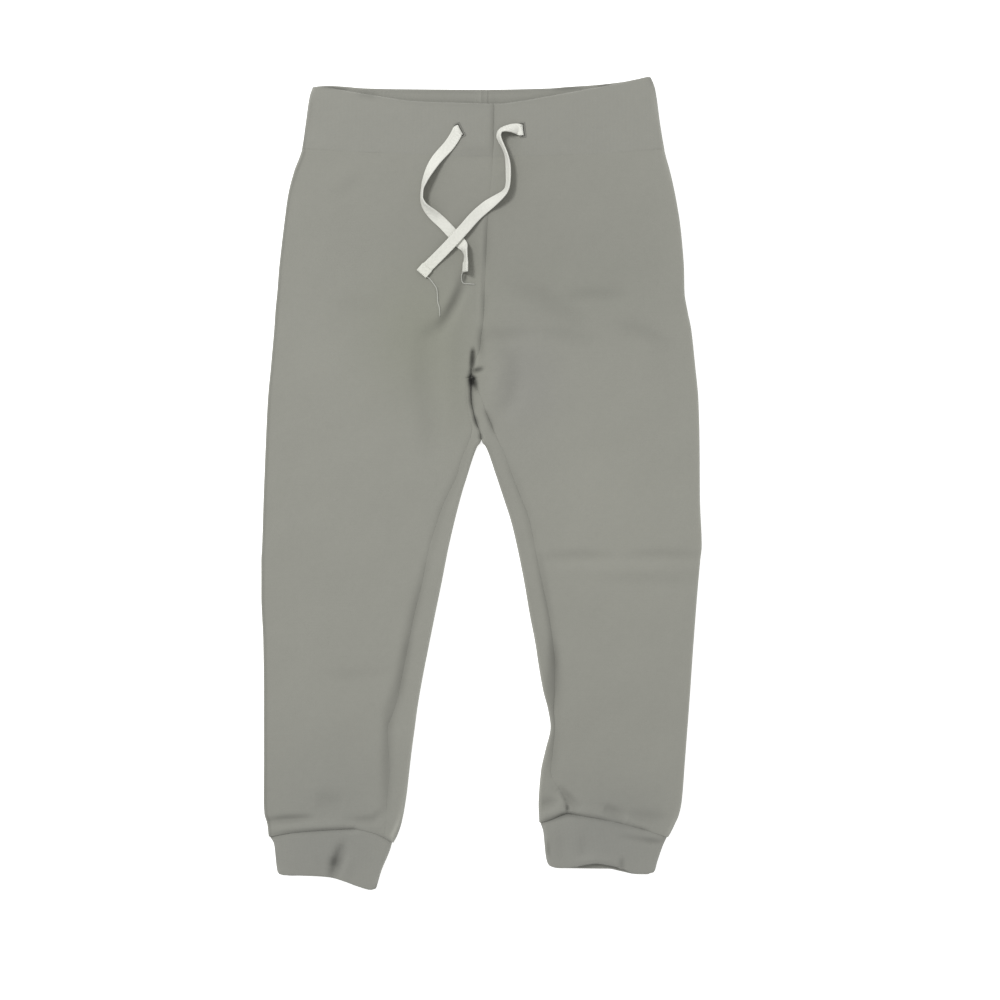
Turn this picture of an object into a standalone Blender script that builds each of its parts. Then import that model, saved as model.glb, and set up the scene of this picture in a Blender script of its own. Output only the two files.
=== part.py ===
"""Toddler's fleece jogger leggings, laid out flat on their back with the front up.

Four leg panels, a double waistband in two halves, two double cuffs and the two free
ends of a flat drawstring. The wearer's left is +X, the waist is towards +Y and the
cloth rests on z = 0. Sizes are in millimetres and become metres where meshes are made.
"""

import math
from collections import namedtuple

import bmesh
import bpy
from mathutils import Vector

NAME = "jogger_leggings"
MM = 0.001
LEFT = 1
RIGHT = -1
SIDE_NAMES = {LEFT: "left", RIGHT: "right"}

# Cloth
FLEECE = 1.8  # wall of the leg panels
DOUBLE = 2.4  # wall of the waistband and the cuffs, which are folded double
GAP = 0.3  # between neighbouring pieces
TURN = 2.9  # outside radius where cloth turns over at an edge
LAY = 4.6  # outside height of a laid-out leg
BAND_LAY = 2 * DOUBLE + 0.5  # outside height of the waistband and the cuffs
EDGE_REACH = 13.0  # how far the rise at a turned edge carries inwards
SEAM_REACH = 11.0  # how far the rise at the waistband and cuff seams carries

# Leg panels
WAIST = 203.0  # station of the waistband seam
APEX = 27.0  # station where the legs part
CROSS = 63.0  # highest station of the back panels on the front, where four seams meet
ANKLE = -215.0  # station of the cuff seams
WARP = 38.0  # how far from a seam the stations bend to follow it

# Drawstring
TAPE_WIDTH = 6.8
TAPE_THICK = 1.0
TAPE_REST = TAPE_THICK / 2 + GAP  # its middle above the cloth that it lies on
SLIT_WIDTH = 2.0
SLIT_LENGTH = 7.8
SLIT_DEPTH = 1.5

# Distance of the outer fold from the middle, by station.
Outer = namedtuple("Outer", "y left right")
OUTER = [
    Outer(203, 112.4, 110.3),
    Outer(198, 113.7, 112.1),
    Outer(191, 115.8, 115.0),
    Outer(176, 119.4, 119.1),
    Outer(161, 122.0, 121.2),
    Outer(146, 123.6, 123.0),
    Outer(132, 124.6, 124.5),
    Outer(118, 124.9, 125.6),
    Outer(106, 126.8, 126.8),
    Outer(95, 129.0, 127.5),
    Outer(73, 131.4, 129.4),
    Outer(50, 133.5, 131.5),
    Outer(21, 134.2, 132.8),
    Outer(-9, 134.4, 134.0),
    Outer(-38, 135.5, 134.9),
    Outer(-47, 134.6, 135.4),
    Outer(-68, 132.7, 135.4),
    Outer(-97, 130.5, 134.2),
    Outer(-134, 127.9, 133.8),
    Outer(-171, 125.1, 133.8),
    Outer(-193, 123.3, 133.9),
    Outer(-201, 121.6, 133.5),
    Outer(-208, 118.4, 131.6),
    Outer(-215, 114.8, 130.8),
]

# Inner fold of a leg and the inseam that has rolled on to its front, by station.
Inner = namedtuple("Inner", "y fold inseam")
INNER = {
    LEFT: [
        Inner(63, 0, -4.8),
        Inner(57, 0, -1.6),
        Inner(47, 0, 2.2),
        Inner(34, 0, 7.4),
        Inner(27, 0.15, 10.2),
        Inner(21, 3.4, 12.2),
        Inner(6, 8.7, 19.3),
        Inner(-16, 16.2, 28.5),
        Inner(-38, 21.8, 32.4),
        Inner(-68, 27.6, 39.2),
        Inner(-97, 32.9, 43.7),
        Inner(-127, 37.9, 46.4),
        Inner(-141, 41.6, 46.6),
        Inner(-149, 42.4, 46.6),
        Inner(-163, 39.3, 44.8),
        Inner(-178, 36.2, 43.4),
        Inner(-190, 35.4, 47.8),
        Inner(-203, 35.0, 51.5),
        Inner(-215, 35.4, 53.5),
    ],
    RIGHT: [
        Inner(63, 0, 7.8),
        Inner(56, 0, 9.3),
        Inner(48, 0, 8.6),
        Inner(40, 0, 6.8),
        Inner(34, 0, 5.4),
        Inner(27, 0.15, 6.9),
        Inner(21, 3.6, 9.8),
        Inner(6, 8.2, 16.0),
        Inner(-16, 14.6, 25.3),
        Inner(-38, 20.0, 31.9),
        Inner(-68, 25.6, 38.5),
        Inner(-97, 31.8, 44.8),
        Inner(-127, 37.4, 50.9),
        Inner(-149, 40.7, 56.8),
        Inner(-186, 45.3, 57.8),
        Inner(-203, 48.9, 58.2),
        Inner(-215, 53.9, 59.4),
    ],
}

# Centre-front seam, by station.
Front = namedtuple("Front", "y x")
CENTRE_FRONT = [
    Front(250, 7.2),
    Front(203, 6.4),
    Front(161, 3.0),
    Front(129, 2.1),
    Front(104, 1.2),
    Front(90, -0.6),
    Front(80, -2.8),
    Front(72, -5.0),
    Front(66, -6.2),
]

# Valley at the crotch: where it runs, how high its floor is on the front, how much of
# it is left, and how high its groove is on the underside.
Valley = namedtuple("Valley", "y x floor share under")
VALLEY = [
    Valley(95, 0.0, 4.1, 0.0, 0.0),
    Valley(84, -2.0, 4.1, 0.35, 0.0),
    Valley(74, -4.5, 4.1, 0.8, 0.0),
    Valley(64, -6.4, 4.1, 1.0, 0.0),
    Valley(51, -6.4, 4.1, 1.0, 0.0),
    Valley(40, -3.5, 4.1, 1.0, 0.0),
    Valley(34, -0.3, 4.1, 1.0, 0.0),
    Valley(31, 0.0, 3.7, 1.0, 0.25),
    Valley(28.5, 0.0, 3.3, 1.0, 0.9),
    Valley(27, 0.0, TURN, 1.0, TURN),
]

# Seams and hems across the body, as points along them.
Across = namedtuple("Across", "x y")
WAIST_SEAM = [
    Across(-111, 205),
    Across(-60, 203),
    Across(5, 200.5),
    Across(60, 202),
    Across(113, 205),
]
CUFF_SEAM = {
    LEFT: [
        Across(35.4, -207.5),
        Across(42, -205.9),
        Across(53, -202.2),
        Across(60, -203.2),
        Across(74, -205.5),
        Across(92, -209.8),
        Across(102, -212.5),
        Across(116, -217),
    ],
    RIGHT: [
        Across(-131, -216.3),
        Across(-115, -213.8),
        Across(-77, -211.6),
        Across(-67, -213.6),
        Across(-52, -221),
    ],
}
FRONT_TOP = [
    Across(-104, 243.6),
    Across(-96, 242.2),
    Across(-85, 240.4),
    Across(-75, 239.0),
    Across(-65, 238.0),
    Across(-55, 236.2),
    Across(-45, 234.8),
    Across(-30, 233.9),
    Across(-10, 233.4),
    Across(10, 233.0),
    Across(25, 234.7),
    Across(40, 237.4),
    Across(55, 240.2),
    Across(66, 242.3),
    Across(77, 244.3),
    Across(90, 247.0),
    Across(104, 250.3),
]
BACK_TOP = [
    Across(-104, 244.0),
    Across(-93, 244.5),
    Across(-84, 244.0),
    Across(-72, 243.0),
    Across(-50, 242.5),
    Across(0, 242.2),
    Across(40, 243.0),
    Across(53, 244.0),
    Across(70, 245.2),
    Across(87, 247.2),
    Across(96, 249.0),
    Across(104, 250.3),
]
HEM = {
    LEFT: [
        Across(42, -235.0),
        Across(48, -236.2),
        Across(60, -236.4),
        Across(78, -236.4),
        Across(85, -237.8),
        Across(95, -239.8),
        Across(102, -239.9),
        Across(106, -238.8),
    ],
    RIGHT: [
        Across(-124, -239.9),
        Across(-116, -240.9),
        Across(-107, -240.7),
        Across(-98, -241.2),
        Across(-91, -242.4),
        Across(-83, -244.9),
        Across(-76, -247.5),
        Across(-68, -249.6),
        Across(-65, -249.2),
    ],
}

# Ends of the waistband's and the cuffs' rows, from seam to free edge.
Ends = namedtuple("Ends", "share x0 y0 x1 y1")
BAND_ENDS = [
    Ends(0.0, -110.3, 205.0, 112.4, 205.0),
    Ends(0.2, -109.1, 212.4, 111.0, 213.0),
    Ends(0.4, -108.1, 220.0, 109.7, 221.0),
    Ends(0.8, -105.5, 238.0, 106.7, 242.0),
    Ends(1.0, -103.6, 244.0, 103.8, 250.3),
]
CUFF_ENDS = {
    LEFT: [
        Ends(0.0, 35.4, -207.5, 114.8, -217.0),
        Ends(0.05, 35.4, -209.0, 114.8, -218.3),
        Ends(0.2, 36.6, -213.6, 112.9, -221.2),
        Ends(0.35, 38.1, -218.4, 110.6, -225.0),
        Ends(0.7, 39.6, -229.0, 107.9, -232.6),
        Ends(1.0, 43.0, -235.2, 105.0, -239.6),
    ],
    RIGHT: [
        Ends(0.0, -130.8, -216.3, -53.9, -221.0),
        Ends(0.05, -130.8, -217.6, -53.9, -222.5),
        Ends(0.2, -129.0, -220.6, -55.4, -225.2),
        Ends(0.35, -127.3, -224.0, -57.2, -228.4),
        Ends(0.7, -126.0, -233.0, -61.5, -238.2),
        Ends(1.0, -124.0, -240.0, -64.6, -249.4),
    ],
}

# Largest folds: ridges have a positive height and troughs a negative one.
Fold = namedtuple("Fold", "x0 y0 x1 y1 half height")
FOLDS = [
    Fold(40, -51, 136, -51, 7.0, 0.9),  # knee of the left leg
    Fold(38, -42, 136, -43, 5.0, -0.6),
    Fold(-14, 112, -36, 62, 8.0, -0.5),  # drag line from the right of the crotch
    Fold(8, 74, 20, 44, 10.0, 1.2),  # bulge left of the crotch
    Fold(-18, 70, -14, 40, 9.0, 0.8),
    Fold(22, 108, 112, 88, 9.0, 0.5),  # across the left hip
    Fold(44, -150, 62, -158, 6.0, -0.5),  # pinch at the left inseam
    Fold(46, -193, 112, -205, 8.0, 2.4),  # rolls above the cuffs
    Fold(-124, -206, -62, -205, 8.0, 2.2),
]

# Stations of the panels' rows, from waist to ankle.
HIP_ROWS = [203, 196, 184, 166, 146, 124, 104, 92, 82, 74, 67]
CROTCH_ROWS = [63, 55, 47, 40, 34, 31, 28.5]
LEG_ROWS = [27, 21, 12, -2, -20, -36, -43, -51, -64, -84, -106, -126]
ANKLE_ROWS = [-140, -149, -158, -172, -186, -196, -203, -209, -215]
ROWS = HIP_ROWS + CROTCH_ROWS + LEG_ROWS + ANKLE_ROWS
BAND_SHARES = [0.0, 0.3, 0.6, 0.85, 1.0]
CUFF_SHARES = [0.0, 0.05, 0.35, 0.7, 1.0]

# Columns of a section. A side seam's turn starts upright, so that the seam's faces stay
# apart: its columns have a share of the turn's radius and a least height off the seam.
SeamStep = namedtuple("SeamStep", "share rise")
SEAM_TURN = [SeamStep(0.0, GAP / 2), SeamStep(0.0, 0.5), SeamStep(0.3, 0.5)]
# The rest are shares of the turn's radius, and shares of a piece's width.
OPEN_TURN = [0.0, 0.29]
FRONT_STEPS = [0.0, 0.12, 0.28, 0.46, 0.64, 0.82, 1.0]
CUFF_STEPS = [0.0, 0.06, 0.14, 0.24, 0.4, 0.6, 0.8, 0.92, 1.0]
BACK_STEPS = [0.0, 0.33, 0.67, 1.0]
WRAP_STEPS = [0.0, 0.1, 0.3, 0.62, 0.85, 1.0]

# Buttonholes in the waistband and the drawstring's ends that come out of them.
Slit = namedtuple("Slit", "x y angle")
SLITS = {LEFT: Slit(25.2, 216.9, 96), RIGHT: Slit(-13.2, 216.9, 118)}

# Way out of a slit: distance from it, and height over the cloth.
Exit = namedtuple("Exit", "off lift")
EXIT = [Exit(-0.15, -0.7), Exit(0.05, 0.6), Exit(1.3, 1.2)]

# Route of each end beyond that: place, its middle's height over the cloth, and its
# roll in degrees.
Route = namedtuple("Route", "x y lift roll")
ROUTES = {
    LEFT: [
        Route(22.7, 217.2, 0.9, 4),
        Route(20.9, 217.5, 0.9, 18),
        Route(18.7, 217.6, 0.9, 34),
        Route(16.0, 217.4, 0.9, 50),
        Route(13.3, 216.8, 0.9, 62),
        Route(11.3, 215.4, 0.9, 68),
        Route(10.6, 212.8, 0.9, 71),
        Route(11.4, 210.1, 0.9, 76),
        Route(12.8, 207.2, 0.9, 80),
        Route(14.2, 204.1, 0.9, 81),
        Route(15.3, 200.8, 0.9, 78),
        Route(16.0, 197.3, 0.9, 72),
        Route(16.4, 193.5, 0.9, 68),
        Route(16.5, 189.5, 0.9, 68),
        Route(16.4, 185.5, 0.9, 70),
        Route(15.9, 181.8, 0.9, 70),
        Route(14.2, 178.5, 0.9, 62),
        Route(11.0, 175.7, 0.9, 46),
        Route(7.3, 173.0, 0.9, 28),
        Route(3.3, 170.2, 1.0, 8),
        Route(-1.0, 166.6, 1.3, 0),
        Route(-5.2, 162.4, 2.0, 0),
        Route(-9.0, 157.9, 2.8, 0),
        Route(-13.0, 153.4, 2.9, 0),
        Route(-17.2, 148.8, 2.9, 0),
        Route(-21.5, 144.3, 2.5, 0),
        Route(-25.7, 140.1, 1.7, 0),
        Route(-29.5, 136.4, 1.2, 0),
        Route(-33.2, 132.7, 1.2, 0),
        Route(-36.9, 128.6, 1.2, 0),
    ],
    RIGHT: [
        Route(-15.6, 213.9, 0.9, 0),
        Route(-17.5, 210.7, 0.9, 0),
        Route(-20.0, 207.2, 0.9, 0),
        Route(-22.8, 204.0, 0.9, 6),
        Route(-25.7, 200.8, 0.9, 12),
        Route(-28.5, 197.2, 0.9, 22),
        Route(-31.0, 193.1, 0.9, 35),
        Route(-33.2, 188.7, 0.9, 52),
        Route(-35.0, 184.2, 0.9, 67),
        Route(-36.2, 179.6, 0.9, 80),
        Route(-36.5, 175.2, 0.9, 80),
        Route(-35.4, 171.3, 0.9, 70),
        Route(-32.9, 167.9, 0.9, 52),
        Route(-29.6, 164.9, 0.9, 28),
        Route(-26.2, 162.0, 0.9, 6),
        Route(-22.9, 158.9, 0.9, 0),
        Route(-19.8, 155.6, 0.9, 0),
        Route(-16.7, 152.2, 0.9, 0),
        Route(-13.8, 148.9, 0.9, 0),
        Route(-11.5, 146.0, 0.9, 22),
        Route(-10.1, 142.9, 0.9, 66),
        Route(-9.5, 139.6, 0.9, 77),
        Route(-9.5, 136.3, 1.2, 72),
        Route(-9.6, 133.0, 1.2, 71),
        Route(-9.7, 129.6, 1.2, 70),
    ],
}

Look = namedtuple("Look", "name colour roughness")
LOOKS = {
    "fleece": Look("greige_fleece", (0.29, 0.29, 0.262), 0.92),
    "band": Look("greige_band", (0.285, 0.285, 0.26), 0.9),
    "tape": Look("ecru_tape", (0.76, 0.76, 0.69), 0.8),
}


def smooth(points, at):
    """Reads a smooth curve through (place, value) points, with no overshoot."""
    points = sorted(points)
    if at <= points[0][0]:
        return points[0][1]
    if at >= points[-1][0]:
        return points[-1][1]
    last = len(points) - 1
    slopes = [(b[1] - a[1]) / (b[0] - a[0]) for a, b in zip(points, points[1:])]

    def tangent(i):
        before = slopes[max(i - 1, 0)]
        after = slopes[min(i, last - 1)]
        return 2 * before * after / (before + after) if before * after > 0 else 0.0

    k = max(i for i in range(last) if points[i][0] <= at)
    (x0, y0), (x1, y1) = points[k], points[k + 1]
    span = x1 - x0
    t = (at - x0) / span
    start = y0 * (1 + 2 * t) * (1 - t) ** 2 + span * tangent(k) * t * (1 - t) ** 2
    end = y1 * t * t * (3 - 2 * t) + span * tangent(k + 1) * t * t * (t - 1)
    return start + end


def read(rows, key, value, at):
    """Reads one column of a table against another."""
    return smooth([(getattr(row, key), getattr(row, value)) for row in rows], at)


def outer_edge(side, y):
    return read(OUTER, "y", SIDE_NAMES[side], y)


def inner_edge(side, y):
    return read(INNER[side], "y", "fold", y)


def inseam(side, y):
    return read(INNER[side], "y", "inseam", y)


def centre_front(y):
    return read(CENTRE_FRONT, "y", "x", y)


def ease(t):
    t = min(max(t, 0.0), 1.0)
    return t * t * (3 - 2 * t)


def cap(t):
    """Height of a quarter circle, from 0 at its side to 1 at its top."""
    return math.sqrt(1 - (1 - min(max(t, 0.0), 1.0)) ** 2)


def fold_height(fold, x, y):
    """What one ridge or trough adds at a place, fading out at its ends."""
    along = Vector((fold.x1 - fold.x0, fold.y1 - fold.y0))
    away = Vector((x - fold.x0, y - fold.y0))
    share = away.dot(along) / along.length_squared
    off = (away - along * min(max(share, 0.0), 1.0)).length
    fade = ease(share * 4 + 1) * ease((1 - share) * 4 + 1)
    return fold.height * fade * math.exp(-((off / fold.half) ** 2))


def leg_height(side, x, y):
    """Outside height of the front of a leg, away from its turned edges."""
    across = side * x
    rise = 2 * TURN - LAY
    height = LAY + rise * math.exp(-max(outer_edge(side, y) - across - TURN, 0) / EDGE_REACH)
    if y <= CROSS:
        reach = max(across - inner_edge(side, y) - TURN, 0)
        height += rise * math.exp(-reach / EDGE_REACH) * ease((CROSS - y) / (CROSS - APEX))
    seam_rise = BAND_LAY - LAY
    height += seam_rise * math.exp(-max(WAIST - y, 0) / SEAM_REACH)
    height += seam_rise * math.exp(-max(y - ANKLE, 0) / SEAM_REACH)
    height += sum(fold_height(fold, x, y) for fold in FOLDS)
    return max(height, 2 * FLEECE + GAP + 0.1)


def valley_height(x, y, height, off):
    """Height on the front beside the valley, a distance off its line."""
    floor = read(VALLEY, "y", "floor", y)
    share = read(VALLEY, "y", "share", y)
    return height - share * (height - floor) * (1 - cap(off / TURN))


def front_height(side, x, y, inner_off):
    """Outside height of the front, a distance from its inner edge or its valley."""
    height = leg_height(side, x, y)
    outer_off = outer_edge(side, y) - side * x
    if y > APEX:
        height = valley_height(x, y, height, inner_off)
    else:
        height = TURN + (height - TURN) * cap(inner_off / TURN)
    return TURN + (height - TURN) * cap(outer_off / TURN)


def under_height(side, y, inner_off, outer_off):
    """Outside height of the underside, which is flat between its turned edges."""
    inner_turn = read(VALLEY, "y", "under", y) if y > APEX else TURN
    height = inner_turn * (1 - cap(inner_off / TURN))
    return height + TURN * (1 - cap(outer_off / TURN))


def warp(side, x, y):
    """Bends a station so that the rows follow the waistband and cuff seams."""
    at_waist = read(WAIST_SEAM, "x", "y", x) - WAIST
    at_ankle = read(CUFF_SEAM[side], "x", "y", x) - ANKLE
    bent = y + at_waist * ease(1 - (WAIST - y) / WARP) + at_ankle * ease(1 - (y - ANKLE) / WARP)
    if y == WAIST:
        bent -= GAP / 2
    if y == ANKLE:
        bent += GAP / 2
    return bent


def spread(start, end, shares):
    return [start + (end - start) * share for share in shares]


def front_row(side, y):
    """Points of a front panel at a station, from the inner seam to the side seam."""
    start = inseam(side, y) if y <= CROSS else side * centre_front(y)
    line = inseam(side, y)
    if y <= APEX:
        line = inner_edge(side, y)
    elif y <= CROSS:
        line = side * read(VALLEY, "y", "x", y)
    start += GAP / 2
    off = start - GAP / 2 - line if y <= CROSS else 0.0
    end = outer_edge(side, y)
    places = [start + TURN * step for step in OPEN_TURN]
    places += spread(start + TURN, end - TURN, FRONT_STEPS)
    steps = [(place, 0.0) for place in places]
    steps += [(end - TURN * step.share, step.rise) for step in reversed(SEAM_TURN)]
    points = []
    for place, rise in steps:
        x = side * place
        z = front_height(side, x, y, off + place - start)
        points.append(Vector((x, warp(side, x, y), max(z, TURN + rise))))
    return points


def under_row(side, y):
    """Points of a back panel's underside, from the side seam to the inner fold."""
    start = outer_edge(side, y)
    end = inner_edge(side, y) if y <= APEX else GAP / 2
    places = spread(start - TURN, end + TURN, BACK_STEPS)
    places += [end + TURN * step for step in reversed(OPEN_TURN)]
    steps = [(start - TURN * step.share, step.rise) for step in SEAM_TURN]
    steps += [(place, 0.0) for place in places]
    points = []
    for place, rise in steps:
        x = side * place
        z = under_height(side, y, place - end, start - place)
        points.append(Vector((x, warp(side, x, y), min(z, TURN - rise))))
    return points


def wrap_row(side, y):
    """Points of a back panel where it turns on to the front, up to the inseam."""
    line = inner_edge(side, y)
    if y > APEX:
        line = side * read(VALLEY, "y", "x", y) + GAP / 2
    points = []
    for place in spread(line, inseam(side, y) - GAP / 2, WRAP_STEPS):
        x = side * place
        z = front_height(side, x, y, place - line)
        points.append(Vector((x, warp(side, x, y), z)))
    return points


def grid_faces(rows):
    """Quads between neighbouring rows of vertices."""
    faces = []
    for upper, lower in zip(rows, rows[1:]):
        for k in range(len(upper) - 1):
            faces.append((upper[k], upper[k + 1], lower[k + 1], lower[k]))
    return faces


def material(key):
    look = LOOKS[key]
    found = bpy.data.materials.get(look.name)
    if found:
        return found
    made = bpy.data.materials.new(look.name)
    made.use_nodes = True
    shader = made.node_tree.nodes["Principled BSDF"]
    shader.inputs["Base Color"].default_value = (*look.colour, 1)
    shader.inputs["Roughness"].default_value = look.roughness
    shader.inputs["Metallic"].default_value = 0
    made.diffuse_color = (*look.colour, 1)
    return made


def add_shell(collection, name, points, faces, wall, look, offset=-1):
    """Adds an open surface of points and faces, thickened inwards to a wall."""
    mesh = bpy.data.meshes.new(name)
    mesh.from_pydata([point * MM for point in points], [], faces)
    for polygon in mesh.polygons:
        polygon.use_smooth = True
    mesh.materials.append(material(look))
    shell = bpy.data.objects.new(name, mesh)
    collection.objects.link(shell)
    solid = shell.modifiers.new("Cloth wall", "SOLIDIFY")
    solid.thickness = wall * MM
    solid.offset = offset
    solid.use_even_offset = True
    return shell


def facing(side, faces):
    """Turns the faces of the right-hand pieces round, so that they face out."""
    return faces if side == LEFT else [tuple(reversed(face)) for face in faces]


def numbered(rows):
    """Puts rows of points in one list, and gives the rows of their numbers."""
    points = [point for row in rows for point in row]
    numbers = []
    first = 0
    for row in rows:
        numbers.append(list(range(first, first + len(row))))
        first += len(row)
    return points, numbers


def add_front(collection, side):
    points, numbers = numbered([front_row(side, y) for y in ROWS])
    faces = [tuple(reversed(face)) for face in grid_faces(numbers)]
    name = "front_" + SIDE_NAMES[side]
    return add_shell(collection, name, points, facing(side, faces), FLEECE, "fleece")


def add_back(collection, side):
    """Adds a back panel: its underside, and the strip of it that shows on the front.

    Above the apex the two are parted by the centre-back seam, which runs down the
    underside, round the apex and up the valley to the cross. Below it they are one.
    """
    under = [under_row(side, y) for y in ROWS]
    wrapped = [y for y in ROWS if y <= CROSS]
    top = [wrap_row(side, y) for y in wrapped]
    points, numbers = numbered(under + top)
    under_numbers = numbers[: len(ROWS)]
    top_numbers = numbers[len(ROWS) :]
    for y, row in zip(wrapped, top_numbers):
        if y <= APEX:
            row[0] = under_numbers[ROWS.index(y)][-1]
    faces = facing(side, [tuple(reversed(f)) for f in grid_faces(under_numbers)])
    faces += facing(side, [tuple(reversed(f)) for f in grid_faces(top_numbers)])
    name = "back_" + SIDE_NAMES[side]
    back = add_shell(collection, name, points, faces, FLEECE, "fleece")
    loose = bmesh.new()
    loose.from_mesh(back.data)
    bmesh.ops.delete(loose, geom=[v for v in loose.verts if not v.link_faces], context="VERTS")
    loose.to_mesh(back.data)
    loose.free()
    return back


def row_end(ends, share, which):
    x = read(ends, "share", "x" + which, share)
    y = read(ends, "share", "y" + which, share)
    return Vector((x, y))


def sag(line, start, end, x):
    """How far a line across the body lies above the chord between its ends."""
    along = (x - start.x) / (end.x - start.x)
    return read(line, "x", "y", x) - start.y - (end.y - start.y) * along


def cross_place(ends, share, seam, edge, along):
    """Place in a waistband or cuff, between its seam and its free edge."""
    start, end = row_end(ends, share, "0"), row_end(ends, share, "1")
    place = start.lerp(end, along)
    seam_ends = row_end(ends, 0, "0"), row_end(ends, 0, "1")
    edge_ends = row_end(ends, 1, "0"), row_end(ends, 1, "1")
    seam_sag = sag(seam, *seam_ends, seam_ends[0].lerp(seam_ends[1], along).x)
    edge_sag = sag(edge, *edge_ends, edge_ends[0].lerp(edge_ends[1], along).x)
    place.y += seam_sag * (1 - share) + edge_sag * share
    return place


def double_heights(off):
    """Outside heights of a double piece's front and underside, off its turned edge."""
    front = BAND_LAY + (2 * TURN - BAND_LAY) * math.exp(-max(off - TURN, 0) / EDGE_REACH)
    return TURN + (front - TURN) * cap(off / TURN), TURN * (1 - cap(off / TURN))


def band_row(side, share):
    """Points of half the waistband, from centre front over the side to centre back."""
    start, end = row_end(BAND_ENDS, share, "0"), row_end(BAND_ENDS, share, "1")
    width = end.x - start.x
    edge = end.x if side == LEFT else start.x
    middle = centre_front(WAIST + 40 * share)
    front_x = spread(middle + side * GAP / 2, edge - side * TURN, FRONT_STEPS)
    turn_x = [edge - side * TURN * step for step in reversed(OPEN_TURN)]
    back_x = [edge - side * TURN * step for step in OPEN_TURN[1:]]
    back_x += spread(edge - side * TURN, side * GAP / 2, BACK_STEPS)
    points = []
    for x in front_x + turn_x:
        along = (x - start.x) / width
        place = cross_place(BAND_ENDS, share, WAIST_SEAM, FRONT_TOP, along)
        points.append(Vector((*place, double_heights(abs(edge - x))[0])))
    for x in back_x:
        along = (x - start.x) / width
        place = cross_place(BAND_ENDS, share, WAIST_SEAM, BACK_TOP, along)
        points.append(Vector((*place, double_heights(abs(edge - x))[1])))
    if share == 0:
        for point in points:
            point.y += GAP / 2
    return points


def add_band(collection, cutters, side):
    points, numbers = numbered([band_row(side, share) for share in BAND_SHARES])
    faces = facing(side, grid_faces(numbers))
    name = "waistband_" + SIDE_NAMES[side]
    band = add_shell(collection, name, points, faces, DOUBLE, "band")
    slit = SLITS[side]
    bpy.ops.mesh.primitive_cube_add(size=MM)
    cutter = bpy.context.object
    cutter.name = "slit_cutter_" + SIDE_NAMES[side]
    cutter.scale = (SLIT_LENGTH, SLIT_WIDTH, 2 * SLIT_DEPTH)
    cutter.location = (slit.x * MM, slit.y * MM, BAND_LAY * MM)
    cutter.rotation_euler.z = math.radians(slit.angle)
    cutter.hide_render = True
    cutter.display_type = "WIRE"
    for held in list(cutter.users_collection):
        held.objects.unlink(cutter)
    cutters.objects.link(cutter)
    cut = band.modifiers.new("Buttonhole", "BOOLEAN")
    cut.operation = "DIFFERENCE"
    cut.solver = "EXACT"
    cut.object = cutter
    return band


def cuff_row(side, share):
    """Points once round a cuff, over its front and back along its underside."""
    ends = CUFF_ENDS[side]
    start, end = row_end(ends, share, "0"), row_end(ends, share, "1")
    width = end.x - start.x
    turn = [TURN * step for step in OPEN_TURN]
    across = turn + spread(TURN, width - TURN, CUFF_STEPS)
    across += [width - step for step in reversed(turn)]
    under = [width - step for step in turn[1:]]
    under += spread(width - TURN, TURN, BACK_STEPS) + list(reversed(turn[1:]))
    points = []
    for off in across:
        place = cross_place(ends, share, CUFF_SEAM[side], HEM[side], off / width)
        points.append(Vector((*place, double_heights(min(off, width - off))[0])))
    for off in under:
        place = cross_place(ends, share, CUFF_SEAM[side], HEM[side], off / width)
        points.append(Vector((*place, double_heights(min(off, width - off))[1])))
    if share == 0:
        for point in points:
            point.y -= GAP / 2
    return points


def add_cuff(collection, side):
    points, numbers = numbered([cuff_row(side, share) for share in CUFF_SHARES])
    closed = [row + row[:1] for row in numbers]
    faces = [tuple(reversed(face)) for face in grid_faces(closed)]
    return add_shell(collection, "cuff_" + SIDE_NAMES[side], points, faces, DOUBLE, "band")


def cloth_height(x, y):
    """Outside height of the front at a place of the waistband or the hips."""
    seam = read(WAIST_SEAM, "x", "y", x)
    if y > seam:
        return BAND_LAY
    side = LEFT if x > centre_front(y) else RIGHT
    return front_height(side, x, y, abs(x - centre_front(y)) if y > CROSS else TURN)


def tape_route(side):
    """A drawstring end's route, square out of its slit and then over the cloth."""
    slit = SLITS[side]
    angle = math.radians(slit.angle)
    out = Vector((-math.sin(angle), math.cos(angle)))
    start = [Route(slit.x + out.x * row.off, slit.y + out.y * row.off, row.lift, 0)
             for row in EXIT]
    return start + ROUTES[side]


def tape_points(side):
    """Edges of the tape, rolled where it stands up, clear of the cloth under it."""
    frames = tape_route(side)
    edges = []
    for i, frame in enumerate(frames):
        before, after = frames[max(i - 1, 0)], frames[min(i + 1, len(frames) - 1)]
        ahead = Vector((after.x - before.x, after.y - before.y)).normalized()
        roll = math.radians(frame.roll)
        across = Vector((-ahead.y, ahead.x)) * (math.cos(roll) * TAPE_WIDTH / 2)
        upward = math.sin(roll) * TAPE_WIDTH / 2
        reach = [(frame.x + across.x * k, frame.y + across.y * k) for k in (-1, -0.5, 0, 0.5, 1)]
        cloth = max(cloth_height(x, y) for x, y in reach)
        if frame.lift < TAPE_REST:
            cloth = BAND_LAY
        middle = cloth + frame.lift + abs(upward)
        edges.append([
            Vector((frame.x - across.x, frame.y - across.y, middle - upward)),
            Vector((frame.x + across.x, frame.y + across.y, middle + upward)),
        ])
    return edges


def add_tape(collection, side):
    rows = tape_points(side)
    points, numbers = numbered(rows)
    name = "drawstring_" + SIDE_NAMES[side]
    return add_shell(collection, name, points, grid_faces(numbers), TAPE_THICK, "tape", 0)


def clear_scene():
    for thing in list(bpy.data.objects):
        bpy.data.objects.remove(thing, do_unlink=True)


def add_collection(name):
    made = bpy.data.collections.new(name)
    bpy.context.scene.collection.children.link(made)
    return made


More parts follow.
